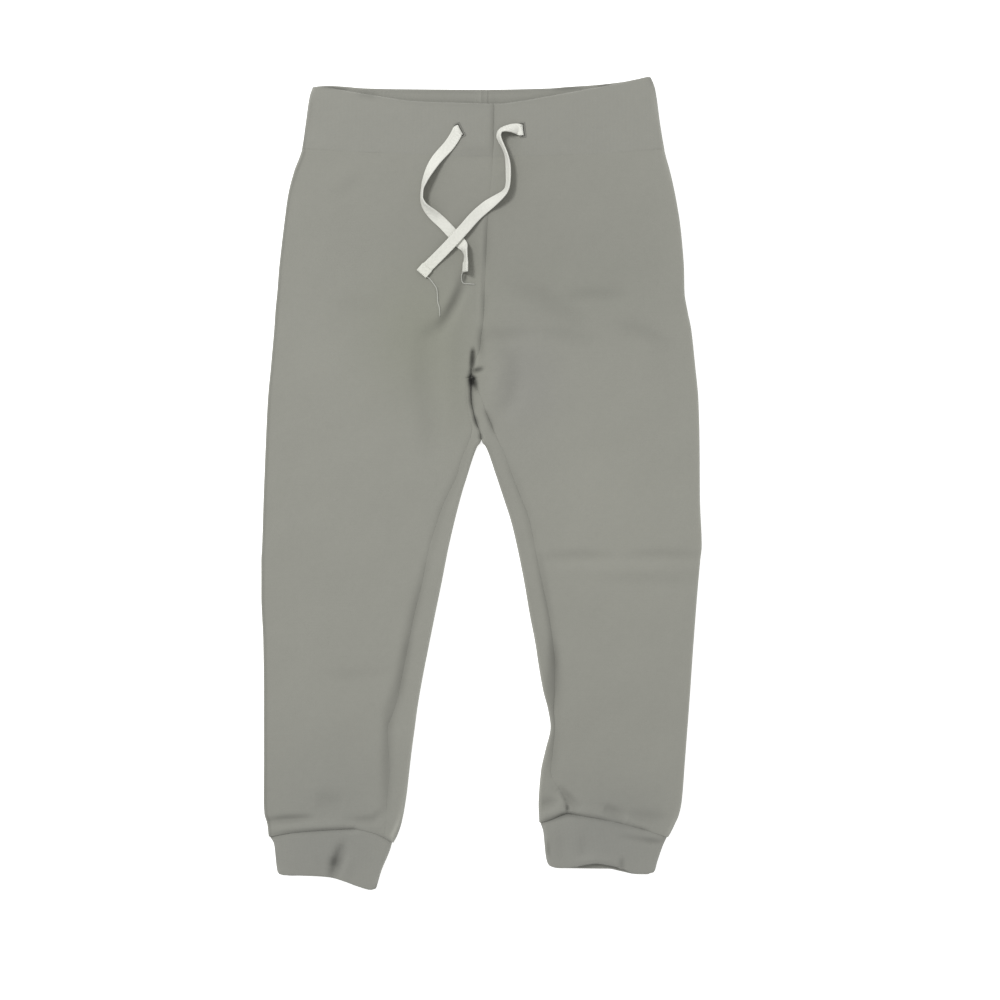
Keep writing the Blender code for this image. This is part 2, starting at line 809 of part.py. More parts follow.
def main():
    clear_scene()
    parts = add_collection(NAME)
    cutters = add_collection("cutters")
    for side in (LEFT, RIGHT):
        add_front(parts, side)
        add_back(parts, side)
        add_band(parts, cutters, side)
        add_cuff(parts, side)
        add_tape(parts, side)


main()
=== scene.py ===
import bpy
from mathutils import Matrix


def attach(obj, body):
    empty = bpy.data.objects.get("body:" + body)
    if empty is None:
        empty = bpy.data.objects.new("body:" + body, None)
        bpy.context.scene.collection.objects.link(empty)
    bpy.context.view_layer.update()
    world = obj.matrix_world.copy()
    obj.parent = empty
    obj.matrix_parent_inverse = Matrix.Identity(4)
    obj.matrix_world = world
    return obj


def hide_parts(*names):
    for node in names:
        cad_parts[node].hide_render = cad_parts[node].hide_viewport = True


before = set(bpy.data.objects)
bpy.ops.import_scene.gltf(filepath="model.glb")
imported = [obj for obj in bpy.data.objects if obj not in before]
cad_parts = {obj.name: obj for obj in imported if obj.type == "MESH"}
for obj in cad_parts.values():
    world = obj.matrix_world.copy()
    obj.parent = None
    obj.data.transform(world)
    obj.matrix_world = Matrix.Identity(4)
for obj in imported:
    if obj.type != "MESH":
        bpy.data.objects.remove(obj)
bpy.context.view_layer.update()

# Looks of the toddler's jogger leggings: knit cloth, seams, creases and drawstring.
# The cloth and tape pieces take the place of their CAD nodes, which are hidden, and every
# piece rides on the root. The wearer's left is +X, the waist is towards +Y and the cloth lies
# on z = 0. Tables are in millimetres; meshes are made in metres.

import math
from collections import namedtuple

import bpy
import numpy as np
from mathutils import Vector

MM = 0.001
LEFT = 1
RIGHT = -1
SIDE_NAMES = {LEFT: "left", RIGHT: "right"}


def rows_of(kind, rows):
    """Rows of a table, whose columns go by the names of their kind."""
    return [kind(*row) for row in rows]


# Cloth
TURN = 2.9  # outside radius where cloth turns over at an edge
LAY = 4.6  # outside height of a laid-out leg
BAND_LAY = 5.3  # outside height of the waistband and the cuffs
EDGE_REACH = 13.0  # how far the rise at a turned edge carries inwards
SEAM_REACH = 11.0  # how far the rise at the waistband and cuff seams carries
SHELL = 1.2  # wall of a leg panel
DOUBLE = 2.3  # wall of the waistband and the cuffs, which are folded double
ALLOWANCE = 0.45  # how much thicker the waistband is at its centre-back seam
LOWEST = 2.1  # lowest that the front's cloth goes in the crotch's valley

# Stations
WAIST = 203.0
CROSS = 66.0  # where four seams meet
APEX = 27.0  # where the legs part
ANKLE = -215.0
WARP = 38.0  # how far from a seam the rows bend to follow it
SEAT = 96.0  # where the rows get closer for the crotch
SHIN = -184.0  # where they get closer for the ankle
PARTING = 5.0  # how far above the apex the front's fold turns into the middle seam

# Seams
SEAM_ROUND = 2.6  # how far from a seam its cloth starts to turn in
UNDER_DROP = 0.5  # how far the underside is drawn up at the waistband and cuff seams
SEAM_GAP = 0.01  # half of what is left open between two pieces
SOFT_DROP = 1.6  # a middle seam deeper than this stands open like a fold
SIDE_PINCH = 0.4  # how far a side seam draws its fold in

# Outer folds of the legs, how far from the middle line they lie at each station.
Outer = namedtuple("Outer", "y left right")
OUTER = rows_of(Outer, [
    (203, 112.4, 110.3), (198, 113.7, 112.1), (191, 115.8, 115), (176, 119.4, 119.1), (161, 122, 121.2),
    (146, 123.6, 123), (132, 124.6, 124.5), (118, 124.9, 125.6), (106, 126.8, 126.8), (95, 129, 127.5),
    (73, 131.4, 129.4), (50, 133.5, 131.5), (21, 134.2, 132.8), (-9, 134.4, 134), (-38, 135.5, 134.9),
    (-47, 134.6, 135.4), (-68, 132.7, 135.4), (-97, 130.5, 134.2), (-134, 127.9, 133.8),
    (-171, 125.1, 133.8), (-193, 123.3, 133.9), (-201, 121.6, 133.5), (-208, 118.4, 131.6),
    (-215, 114.8, 130.8),
])

# Inner fold of a leg, the inseam on its front, and how deep the inseam lies.
Inner = namedtuple("Inner", "y fold inseam groove")
INNER = {
    LEFT: rows_of(Inner, [
        (66, 0, -4.6, 0.3), (63, 0, -3.5, 0.5), (60, 0, -2.8, 0.5), (57, 0, -1.8, 0.3), (52, 0, 0.2, 0.1),
        (47, 0, 1.9, 0.3), (43, 0, 3.4, 1.1), (37, 0, 6, 1.2), (32, 0, 7.8, 0.8), (27, 0.05, 10.2, 0.3),
        (25.6, 0.4, 10.9, 0.25), (24, 1.9, 11.7, 0.2), (21, 3.5, 13.2, 0.2), (6, 8.7, 18.6, 0.3),
        (-10, 14, 24.9, 0.35), (-22, 17.9, 29.4, 0.3), (-40, 22.2, 33, 0.3), (-60, 26.2, 37, 0.5),
        (-80, 29.6, 41.2, 0.55), (-97, 32.9, 43.8, 0.5), (-112, 35.2, 45.1, 0.5), (-127, 37.9, 44.9, 0.7),
        (-139, 41, 44.4, 0.9), (-149, 42.4, 45, 0.6), (-163, 39.3, 43.8, 0.4), (-176, 36.5, 42.4, 0.2),
        (-190, 35.4, 47.8, 0.08), (-203, 35, 51.5, 0.08), (-215, 35.4, 53, 0.1),
    ]),
    RIGHT: rows_of(Inner, [
        (66, 0, 8.3, 0.05), (60, 0, 9.4, 0.1), (48, 0, 8.8, 0.1), (40, 0, 7.2, 0.15), (34, 0, 5.8, 0.4),
        (27, 0.05, 7.2, 0.25), (25.6, 0.4, 7.9, 0.2), (24, 1.9, 8.6, 0.2), (21, 3.4, 10, 0.2),
        (14, 5.9, 12.7, 0.2), (4, 9, 15.5, 0.25), (-5, 11.8, 19.9, 0.2), (-15, 14.5, 24.5, 0.2),
        (-25, 17, 27.8, 0.2), (-40, 20.4, 32.4, 0.2), (-60, 24.3, 36.3, 0.3), (-80, 28.4, 41.2, 0.35),
        (-100, 32.4, 45.2, 0.3), (-120, 36.3, 49.2, 0.3), (-132, 38.4, 51.6, 0.3), (-142, 39.9, 55, 0.4),
        (-150, 40.9, 57.6, 0.25), (-164, 42.8, 57.1, 0.22), (-176, 44.2, 56.4, 0.2),
        (-188, 45.7, 57.6, 0.15), (-203, 48.9, 58.6, 0.1), (-215, 53.9, 59.6, 0.1),
    ]),
}

# Centre front and, below the cross, the centre-back seam in the crotch's valley: how
# far it lies below the cloth, how round the cloth turns into it, and how open it is.
Middle = namedtuple("Middle", "y x drop radius gap")
MIDDLE = rows_of(Middle, [
    (250, 7.8, 0.5, 2.4, 0.01), (232, 7.7, 0.7, 2.4, 0.01), (212, 7.3, 0.6, 2.4, 0.01),
    (203, 6.9, 0.3, 2.4, 0.01), (190, 6, 0.1, 2.4, 0.01), (170, 4.4, 0.12, 2.2, 0.01),
    (160, 3.7, 0.5, 2.2, 0.01), (142, 2.9, 0.65, 2, 0.01), (128, 2.3, 0.25, 2, 0.01),
    (118, 1.9, 0.4, 2, 0.01), (110, 1.7, 0.6, 1.8, 0.01), (101, 1.2, 0.4, 2, 0.01),
    (88, -0.4, 0.5, 2.2, 0.01), (84, -0.7, 0.5, 2.2, 0.01), (80.5, -1.7, 0.35, 2, 0.01),
    (76, -4.1, 0.5, 1.8, 0.02), (72, -5.5, 1.4, 1.8, 0.04), (69, -6.1, 2.6, 2, 0.08),
    (66, -6.3, 3.4, 2.4, 0.1), (62, -6.3, 3.4, 2.4, 0.1), (57, -6.3, 2.7, 2.4, 0.06),
    (51, -6.1, 2.5, 2.4, 0.04), (45, -5, 2, 2.4, 0.04), (40, -3.8, 2.5, 2.4, 0.04),
    (36, -2.5, 2.1, 2.4, 0.04), (32, -0.8, 1.2, 2.4, 0.04), (29, -0.2, 1.7, 2.5, 0.04),
    (27, 0, 2.2, 2.6, 0.04),
])

# Centre-back seam on the underside: how far it is drawn up, by station.
UNDER_SEAM = [(27, 2.9), (29, 1.7), (32, 0.9), (38, 0.6), (60, 0.5), (203, 0.5)]

# Lines across the cloth, as (x, y) places. FRONT_TOP and FRONT_HEM are the free edges of
# the front layer, BACK_TOP and HEM those of the back layer.
WAIST_SEAM = [(-111, 205), (-60, 203), (5, 200.5), (60, 202), (113, 205)]
CUFF_SEAM = {
    LEFT: [
        (35.4, -207.5), (42, -205.9), (53, -202.2), (60, -203.2), (74, -205.5), (92, -209.8), (102, -212.5),
        (116, -217),
    ],
    RIGHT: [(-131, -216.3), (-115, -213.8), (-77, -211.6), (-67, -213.6), (-52, -221)],
}
# How far the cloth sinks at the waistband's seam and at the cuffs', by place across.
WAIST_SINK = [(-111, 0.06), (-80, 0.08), (-20, 0.07), (0, 0.22), (24, 0.07), (113, 0.03)]
CUFF_SINK = {
    LEFT: [(35, 0.8), (45, 1.3), (53, 2.4), (60, 1.3), (72, 0.9), (86, 0.6), (94, 0.8),
           (100, 1.1), (104, 0.3), (116, 0.15)],
    RIGHT: [(-131, 0.4), (-126, 0.6), (-119, 0.8), (-112, 1.1), (-90, 1.2), (-79, 1.7),
            (-75, 0.5), (-70, 0.2), (-66, 0.3), (-60, 1.0), (-56, 1.1), (-52, 0.3)],
}
FRONT_TOP = [
    (-104, 243.6), (-96, 243), (-85, 241.2), (-75, 239.4), (-65, 238), (-55, 236.2), (-45, 234.8),
    (-30, 233.9), (-10, 233.4), (10, 233), (25, 234.7), (40, 237.4), (55, 240.2), (66, 242.3), (77, 244.3),
    (90, 247), (104, 250.3),
]
BACK_TOP = [
    (-104, 244), (-93, 244.5), (-84, 244), (-72, 243), (-50, 242.5), (0, 242.2), (40, 243), (53, 244),
    (70, 245.2), (87, 247.2), (96, 249), (104, 250.3),
]
HEM = {
    LEFT: [
        (42, -235), (48, -236.2), (60, -236.4), (78, -236.4), (85, -237.8), (95, -239.8), (102, -239.9),
        (106, -238.8),
    ],
    RIGHT: [
        (-124, -239.9), (-116, -240.9), (-107, -240.7), (-98, -241.2), (-91, -242.4), (-83, -244.9),
        (-76, -247.5), (-68, -249.6), (-65, -249.2),
    ],
}
FRONT_HEM = {
    LEFT: [
        (42, -235), (50, -235.7), (57, -235.1), (64, -233.5), (70, -232.7), (78, -233.8), (84, -235.1),
        (88, -236.8), (95, -239.2), (106, -238.8),
    ],
    RIGHT: [
        (-124, -239.9), (-107, -240.5), (-98, -241), (-91, -242), (-83, -244.6), (-76, -247.3),
        (-68, -249.4), (-65, -249.2),
    ],
}
# Both ends of the waistband and of a cuff, by share of the way from seam to free edge.
Ends = namedtuple("Ends", "share x0 y0 x1 y1")
BAND_ENDS = rows_of(Ends, [
    (0, -110.3, 205, 112.4, 205), (0.2, -109.1, 212.4, 111, 213), (0.4, -108.1, 220, 109.7, 221),
    (0.8, -105.5, 238, 106.7, 242), (1, -103.6, 244, 103.8, 250.3),
])
CUFF_ENDS = {
    LEFT: rows_of(Ends, [
        (0, 35.9, -207.5, 114, -216.6), (0.06, 36.7, -209.6, 113.2, -218.2),
        (0.2, 37.9, -213.6, 111.8, -221.2), (0.35, 38.4, -218.4, 110.4, -225),
        (0.7, 39.5, -229, 107.9, -232.6), (0.92, 40.8, -233.6, 106.5, -237.8),
        (1, 42.6, -235.4, 104.9, -239.6),
    ]),
    RIGHT: rows_of(Ends, [
        (0, -130, -216.3, -54.7, -220.6), (0.06, -128.7, -218.2, -55.2, -222.4),
        (0.2, -127.4, -220.8, -56, -225.2), (0.35, -126.9, -224, -57.3, -228.4),
        (0.7, -126, -233, -61.5, -238.2), (0.92, -125.2, -238.2, -64, -246.6),
        (1, -123.6, -240.2, -64.9, -249.4),
    ]),
}
BAND_DEPTH = 40.0  # seam to top edge
CUFF_DEPTH = 26.0  # seam to hem

# Creases: points along each, its half width and its height. On the front and the cuffs
# ridges have a positive height and troughs a negative one.
Crease = namedtuple("Crease", "points half height")
CREASES = rows_of(Crease, [
    # knee of the left leg
    ([(40, -45.5), (60, -44.6), (80, -45.2)], 3.6, -1.05),
    ([(90, -44.6), (112, -43.8), (136, -44.8)], 3.4, -1), ([(44, -52), (80, -53), (136, -53)], 4.5, 0.6),
    ([(74, -59), (105, -60), (134, -62)], 3.8, -0.45),
    # drag line from the drawstring's tip down beside the crotch
    ([(-11, 128), (-12.5, 119), (-16, 111.5), (-20.5, 103.5), (-25, 96.5)], 2.9, -1.9),
    ([(-16, 122), (-21.5, 111), (-27, 103)], 3.2, 0.6), ([(-22, 100), (-29, 94), (-35, 89)], 4.6, -1.2),
    ([(-33, 93), (-36, 80), (-35, 64), (-32, 40), (-30, 14)], 7.2, -1.05),
    ([(-7, 118), (-13, 104), (-19, 92), (-20, 60), (-17, 36)], 5, 0.6),
    # drag lines across the left hip
    ([(20, 120), (38, 114), (54, 103), (68, 94)], 6.6, -1.3),
    ([(86, 97), (102, 91.5), (119, 82)], 5.2, -1.15), ([(54, 114.5), (68, 115.5), (90, 114.5)], 4.4, -1.05),
    ([(3, 91), (16, 90.5), (30, 91.5)], 4.4, -0.95), ([(38, 93), (55, 90), (70, 85)], 5.6, -1.1),
    # pleat that curls round the left of the crotch
    ([(14, 84), (20, 76), (21.5, 64), (18.5, 52), (11, 43)], 5.2, -1.15),
    ([(5, 79), (10, 68), (8, 54)], 4.6, 0.8),
    # fold beside the centre front, and the pleats where four seams meet
    ([(-5, 82.4), (-5.2, 77), (-5.8, 71)], 1.25, -3.8),
    ([(-6.4, 69.2), (-3.2, 69.4), (1.2, 70.4)], 1.3, -2.2), ([(-5, 65), (-3.2, 59.5)], 1.7, -2),
    # stitched allowance beside the centre front
    ([(1.6, 164), (0.5, 148), (-0.3, 130), (-0.9, 112), (-1.4, 98)], 1.4, 0.5),
    # hips and legs
    ([(-92, 176), (-83, 180), (-72, 188)], 5, -0.5), ([(-88, 111), (-60, 105)], 5.5, -0.5),
    ([(-100, -118), (-80, -118.5), (-58, -117)], 4, -0.5), ([(-102, -194), (-84, -196)], 6, -1.1),
    ([(44, -94), (44, -112), (43, -126), (42.4, -139)], 3.6, -1.3),
    ([(-40, -66), (-45, -98), (-50, -122), (-57, -142), (-58, -170), (-58.5, -200)], 3.4, -0.9),
    # right ankle: roll above the cuff, and the fold above that
    ([(-131, -212.6), (-115, -210.3), (-95, -209.2), (-78, -208), (-66, -210.2)], 2.6, 1.1),
    ([(-133, -206.8), (-120, -205.8), (-104, -205)], 2.4, -1.9),
    ([(-85, -207.4), (-75, -207), (-66, -206), (-60, -201)], 2.8, -1.3),
    # left ankle: roll above the cuff, its tuck and its folds
    ([(37, -203.6), (46, -200.4), (50, -198.8)], 2.6, 0.9),
    ([(57, -199.4), (66, -200.8), (78, -203), (92, -206.4), (104, -209.8)], 2.7, 1.1),
    ([(53, -200.6), (53, -196.8)], 1.1, -1.7), ([(46.5, -188), (49.5, -193), (50.5, -198)], 2.1, 1.3),
    ([(46, -187), (53.5, -193), (60, -200.5)], 3, -2.1), ([(37, -195.6), (46, -196)], 3.4, -1.4),
    ([(75, -199), (82, -202.4), (88.5, -207)], 3.4, -2.1),
    ([(90, -203.6), (101, -205), (114, -205.4)], 4.4, -1.3),
])
# Creases of the underside: how far the cloth is drawn up off the table.
BACK_CREASES = rows_of(Crease, [
    # seat and crotch
    ([(16, 88), (46, 76), (84, 72)], 5, 0.9), ([(12, 70), (38, 56), (66, 54)], 5, 0.6),
    ([(-14, 84), (-40, 70), (-88, 66)], 5.5, 0.8), ([(-10, 66), (-30, 54), (-52, 50)], 4, 0.55),
    ([(16, 44), (34, 22)], 5, 0.7), ([(-14, 48), (-30, 20)], 4.5, 0.6),
    # knees
    ([(46, -30), (84, -33), (124, -29)], 4.5, 0.9), ([(58, -62), (96, -60)], 4, 0.6),
    ([(-40, -44), (-78, -40), (-118, -43)], 5, 0.8), ([(-52, -70), (-92, -72)], 4, 0.5),
    # calves and ankles
    ([(56, -150), (96, -154)], 4.5, 0.5), ([(-72, -128), (-112, -124)], 5, 0.5),
    ([(52, -190), (84, -191), (108, -196)], 4, 0.8), ([(-68, -197), (-96, -194), (-122, -198)], 4, 0.7),
])
CUFF_CREASES = rows_of(Crease, [
    ([(-84.6, -221), (-87.6, -229), (-89.6, -235.5), (-91.4, -243)], 3.1, -3),
    ([(-104, -226), (-103, -238)], 3, 0.3), ([(-80, -229), (-84, -240)], 3.4, 0.6),
    ([(86.4, -229.5), (87.6, -237)], 1.6, -1.4),
    ([(57, -232.6), (64, -231), (70, -230.2), (78, -231.2), (86, -233.4)], 3.2, 1.5),
    ([(49, -212), (49.5, -232)], 3.2, -0.45), ([(62.5, -216), (63.5, -230)], 3.2, -0.6),
    ([(86, -216.4), (98, -218.6), (112, -219.8)], 1.9, -1.1),
])

# Painted shade along seams, in folds and under edges; a positive height is painted light. Heights are
# shares.
PAINTED_SHADES = rows_of(Crease, [
    # centre front
    ([(7.5, 236), (7.4, 222), (7, 207)], 2.4, -0.1), ([(3.7, 165), (2.9, 147), (2.5, 133)], 2.4, -0.12),
    ([(1.8, 120), (1.6, 110), (1, 98)], 2, -0.1), ([(0.2, 97), (-0.5, 90), (-0.7, 79)], 2.2, -0.24),
    # crotch and the drag line from the drawstring's tip: painted shade in the folds, nearly black at the
    # core
    ([(-5, 82.6), (-5.4, 77), (-5.9, 71)], 1.3, -0.6),
    ([(-6, 69.6), (-2.6, 69.8), (1.2, 70.8)], 1.5, -0.36),
    ([(-6.6, 68), (-6.4, 64.5), (-6.3, 59)], 2, -0.93), ([(-6, 65.8), (-4.6, 63.4)], 2.1, -0.7),
    ([(-4.2, 63.4), (-2.8, 57)], 1.6, -0.42), ([(-6.3, 60), (-6.2, 51), (-5.2, 46)], 1.9, -0.3),
    ([(-4.4, 42), (-2.6, 35.6)], 1.6, -0.34),
    ([(-12, 127), (-14, 119), (-17.5, 111), (-22, 103), (-26, 97)], 2.8, -0.2),
    # painted shadow below the right tape's tip
    ([(-9.4, 130), (-10, 126.5), (-10.6, 124)], 1.2, -0.5),
    # inseams
    ([(3, 45), (5.4, 38), (7.6, 32)], 2, -0.17), ([(11, 25), (21, 1), (28, -18), (35, -50)], 2.6, -0.09),
    ([(35, -44), (41, -78), (45, -112)], 2.6, -0.17), ([(44.6, -98), (45, -118), (44.2, -137)], 3.7, -0.25),
    ([(44.4, -136), (44.4, -152), (43.2, -166), (42, -180)], 2.8, -0.14),
    ([(-7.4, 28), (-15, 6), (-25, -16), (-35, -54)], 2.8, -0.1),
    ([(-34, -48), (-41.5, -80), (-47, -106)], 2.8, -0.19),
    ([(-45, -96), (-50, -124), (-57, -148)], 3.3, -0.2),
    ([(-56.6, -142), (-57.4, -166), (-58.2, -200)], 3.2, -0.15),
    # ankles
    ([(-129, -216), (-115, -213.9), (-78, -211.6)], 1.8, -0.08),
    ([(37, -207), (46, -204.4), (53, -202.4), (62, -203.6)], 1.8, -0.22),
    ([(58, -203.2), (78, -206.8), (103, -212.6)], 1.7, -0.12), ([(53, -200.6), (53, -197.4)], 1, -0.2),
    ([(-89.6, -228), (-91.2, -235)], 3, -0.32), ([(100, -218.6), (110, -219.2)], 1.7, -0.13),
    ([(40.4, -218), (41.2, -229)], 1.3, -0.2),
    # ends of the waistband and the cuffs: painted shade on those that face the wearer's right, painted
    # light on the others
    ([(-108.4, 207), (-106.2, 222), (-103.4, 240)], 1.1, -0.15),
    ([(111.8, 207), (109.2, 222), (105.4, 243)], 1.6, 0.3),
    ([(-127.8, -219), (-125.7, -226), (-124.8, -235)], 1.2, -0.15),
    ([(-55.8, -222.6), (-57.8, -228.8), (-62, -238.6), (-65, -246)], 1.6, 0.3),
    ([(112.4, -218.6), (109.8, -225.4), (107.4, -232.8), (105.4, -238)], 1.6, 0.3),
    # painted shade along the waistband's front and back edges and at its seam
    ([(-100, 243.9), (-91, 243), (-82, 242.1)], 1, -0.45),
    ([(-78, 241.8), (-56, 241.2), (-20, 241.2), (20, 241.4), (50, 242.6), (66, 243.8)], 1.6, -0.12),
    ([(44, 242.6), (53, 243), (62, 243.6)], 1.1, -0.25), ([(71, 244.3), (80, 245.4)], 1.1, -0.35),
    ([(-76, 239.6), (-64, 238)], 2.6, -0.16),
    ([(-60, 237), (-40, 235.6), (0, 234.4), (30, 236.4), (50, 240)], 3.2, -0.07),
    ([(-18, 204), (0, 203.6), (16, 204)], 4.5, -0.07),
])
SHADE_DEPTH = 0.05  # painted shade: share by which a crease darkens the colour for each millimetre of depth
BACK_SHADE = 0.14  # painted shade on the underside, for each millimetre that it is drawn up
DARKEST = -0.93  # limit of the front's painted shade, as a share
CREASE_END = 0.25  # share of a crease's height that is left at its ends
CREASE_SWELL = 0.7  # below 1, so that a crease keeps its height along most of its length

# Painted shade along the folds that face the wearer's right and painted light along those
# that face the other way: by how much, how far in and how widely.
EdgeLight = namedtuple("EdgeLight", "change off reach")
OUTER_EDGE_LIGHT = {LEFT: EdgeLight(0.35, 0.2, 1.7), RIGHT: EdgeLight(-0.22, 1.6, 0.95)}
INNER_EDGE_LIGHT = {LEFT: EdgeLight(-0.07, 1.8, 1.0), RIGHT: EdgeLight(0.35, 0.2, 1.7)}

# Slow unevenness of the cloth, one row a wave.
Wave = namedtuple("Wave", "length angle shift height")
WAVES = rows_of(Wave, [
    (71, 12, 0.3, 0.16), (53, 78, 1.9, 0.14), (37, 40, 4.1, 0.08), (29, 118, 2.6, 0.07),
    (19, 160, 5.2, 0.03),
])
WAVE_BEND = 0.6  # how far the crests wander, in radians
UNDER_WAVES = 0.5  # share of the unevenness on a leg's underside
DOUBLE_WAVES = 0.7  # on the front of the waistband and the cuffs
DOUBLE_UNDER_WAVES = 0.35  # and on their undersides

# Broad patches of darker and lighter colour, partly the cloth's own uneven tone and partly
# painted shade and light: place, reach, and what is added to red, green and blue.
Tone = namedtuple("Tone", "x y reach_x reach_y red green blue")
TONES = rows_of(Tone, [
    (-38, 92, 34, 40, -0.085, -0.07, -0.12), (-14, 52, 16, 30, -0.04, -0.035, -0.05),
    (28, 62, 20, 32, -0.04, -0.045, -0.02), (60, 120, 60, 26, -0.04, -0.035, -0.04),
    (0, 156, 110, 46, -0.08, -0.08, -0.08), (0, 226, 110, 24, -0.035, -0.035, -0.035),
    (84, -20, 48, 70, 0.045, 0.045, 0.04), (-92, -205, 44, 48, -0.085, -0.08, -0.065),
    (76, -216, 44, 34, -0.095, -0.09, -0.07), (-100, -232, 34, 18, -0.04, -0.04, -0.035),
])

# Drawstring
TAPE_WIDTH = 6.8
TAPE_THICK = 0.9
TAPE_REST = 0.8  # a lift less than this is inside the buttonhole
TAPE_STEPS = 6  # rings of the tape for each point of its route
TIP_HEM = 6.5  # length that is folded back and stitched at the tip
TIP_FOLD = 0.45  # how much thicker the tape is there
TIP_SPREAD = 0.12  # and how much wider, as a share
TIP_STEP = 0.5  # length over which the fold's thickness begins
FOLD_RISE = 4  # how steeply the fold rises from the selvedges
TIP_ROUND = 0.6  # length over which the very end is rounded
TIP_END = 0.05  # so that the last ring keeps some thickness
# Half the tape's outline: share of the way from its middle line to its selvedge, and
# share of its thickness there.
TAPE_OUTLINE = [(1.0, 0.12), (0.985, 0.6), (0.94, 0.95), (0.85, 1.0), (0.5, 0.86), (0.17, 0.8)]
SLIT_WIDTH = 2.0  # of the buttonholes
SLIT_LENGTH = 7.8
SLIT_DEPTH = 1.5

# Stitches: across the folded tips, and round the buttonholes
TIP_SEAM = 5.2  # from the tip's end
TIP_STITCHES = 5
TIP_STITCH = 1.3  # from one to the next
TIP_START = 3.0  # from the tape's middle line to the first
TIP_BASE = 0.42  # how high they start over the tape's middle, as a share of its thickness
TIP_POINTS = 6
TIP_POINT = 0.22  # along a stitch, from one point to the next
TIP_RADIUS = 0.16
TIP_RAISE = 0.16
TIP_SUNK = 0.05
STITCH_PITCH = 0.5
STITCH_PAST = 0.6  # how far the rows run past the slit's ends
SIDE_INSET = 0.15  # how far the stitches reach in over the slit's sides
END_INSET = 0.1  # and over its ends
STITCH_LENGTH = 1.2
STITCH_POINTS = 5
STITCH_RADIUS = 0.24
STITCH_RAISE = 0.28
STITCH_SUNK = 0.08
STRAND_SIDES = 6  # corners of a stitch or thread, cut across
STRAND_END = 0.35  # share of a strand's radius that is left at its ends
STEEP = 0.8  # a strand that rises more steeply takes its way across from X

Slit = namedtuple("Slit", "x y angle")
SLITS = {LEFT: Slit(25.2, 216.9, 96), RIGHT: Slit(-13.2, 216.9, 118)}
# Where the tape comes out, off the slit's middle line, and how far over the waistband.
Exit = namedtuple("Exit", "off lift")
EXIT = [Exit(-0.15, -0.7), Exit(0.05, 0.6), Exit(1.3, 1.2)]
# Routes of the drawstring's ends: places, the roll about their way in degrees, and how
# high the tape's middle is over the cloth.
Route = namedtuple("Route", "x y roll lift", defaults=(0, 0.9))
ROUTES = {
    LEFT: rows_of(Route, [
        (22.7, 217.2, 4), (20.9, 217.5, 18), (18.7, 217.6, 34), (16, 217.4, 50), (13.3, 216.8, 62),
        (11.3, 215.4, 68), (10.6, 212.8, 71), (11.4, 210.1, 76), (12.8, 207.2, 80), (14.2, 204.1, 81),
        (15.3, 200.8, 78), (16, 197.3, 72), (16.4, 193.5, 68), (16.5, 189.5, 68), (16.4, 185.5, 70),
        (15.9, 181.8, 70), (14.2, 178.5, 62), (11, 175.7, 46), (7.3, 173, 28), (3.3, 170.2, 8, 1),
        (-1, 166.6, 0, 1.3), (-5.2, 162.4, 0, 2), (-9, 157.9, 0, 2.8), (-13, 153.4, 0, 2.9),
        (-17.2, 148.8, 0, 2.9), (-21.5, 144.3, 0, 2.5), (-25.7, 140.1, 0, 1.7), (-29.5, 136.4, 0, 1.2),
        (-33.2, 132.7, 0, 1.2), (-36.9, 128.6, 0, 1.2),
    ]),
    RIGHT: rows_of(Route, [
        (-15.6, 213.9), (-17.5, 210.7), (-20, 207.2), (-22.8, 204, 6), (-25.7, 200.8, 12),
        (-28.5, 197.2, 22), (-31, 193.1, 35), (-33.2, 188.7, 52), (-35, 184.2, 67), (-36.2, 179.6, 80),
        (-36.5, 175.2, 80), (-35.4, 171.3, 70), (-32.9, 167.9, 52), (-29.6, 164.9, 28), (-26.2, 162, 6),
        (-22.9, 158.9), (-19.8, 155.6), (-16.7, 152.2), (-13.8, 148.9), (-11.5, 146, 22),
        (-10.1, 142.9, 66), (-9.5, 139.6, 77), (-9.5, 136.3, 72, 1.2), (-9.6, 133, 71, 1.2),
        (-9.7, 129.6, 70, 1.2),
    ]),
}

# Loose threads at the tips: points with their heights over the cloth.
Thread = namedtuple("Thread", "side radius points")
THREADS = [
    Thread(LEFT, 0.42, [(-34.0, 127.2, 1.3), (-32.0, 126.0, 0.5), (-29.2, 122.6, 0.4),
                        (-27.3, 119.3, 0.7), (-26.9, 115.5, 0.5), (-26.7, 111.5, 0.4),
                        (-25.7, 107.8, 0.4), (-25.4, 102.6, 0.3)]),
    Thread(RIGHT, 0.36, [(-11.4, 130.4, 1.4), (-12.2, 127, 0.6), (-11.8, 124.2, 0.4),
                         (-10.2, 122.8, 0.4), (-7, 122.6, 0.5), (-4, 122.4, 0.3)]),
]
THREAD_STEPS = 6  # rings of a thread for each of its points

# Cloth faces, in millimetres
WALE = 1.25  # width of a knitted stitch
COURSE = 0.95  # and its height
LOOP_HEIGHT = 0.5  # heights are shares of the relief's
WALE_HEIGHT = 0.35
RIB = 2.5
RIB_HEIGHT = 0.2
TWILL = 1.15  # from one slanting line of the tape to the next
WARP_END = 0.6  # from one of its yarns to the next
WARP_HEIGHT = 0.4
FUZZ = (1900.0, 3.0)  # scale and detail of the noises
PATCHES = (240.0, 3.0)
BROAD = (24.0, 2.0)
FACE_TONE = 0.35  # shares of the mottling
FUZZ_TONE = 2.2
FUZZ_ROUGH = 0.08  # by how much the fuzz varies the roughness
FUZZ_HEIGHT = 1.6  # heights beside the face's
PATCH_HEIGHT = 1.5

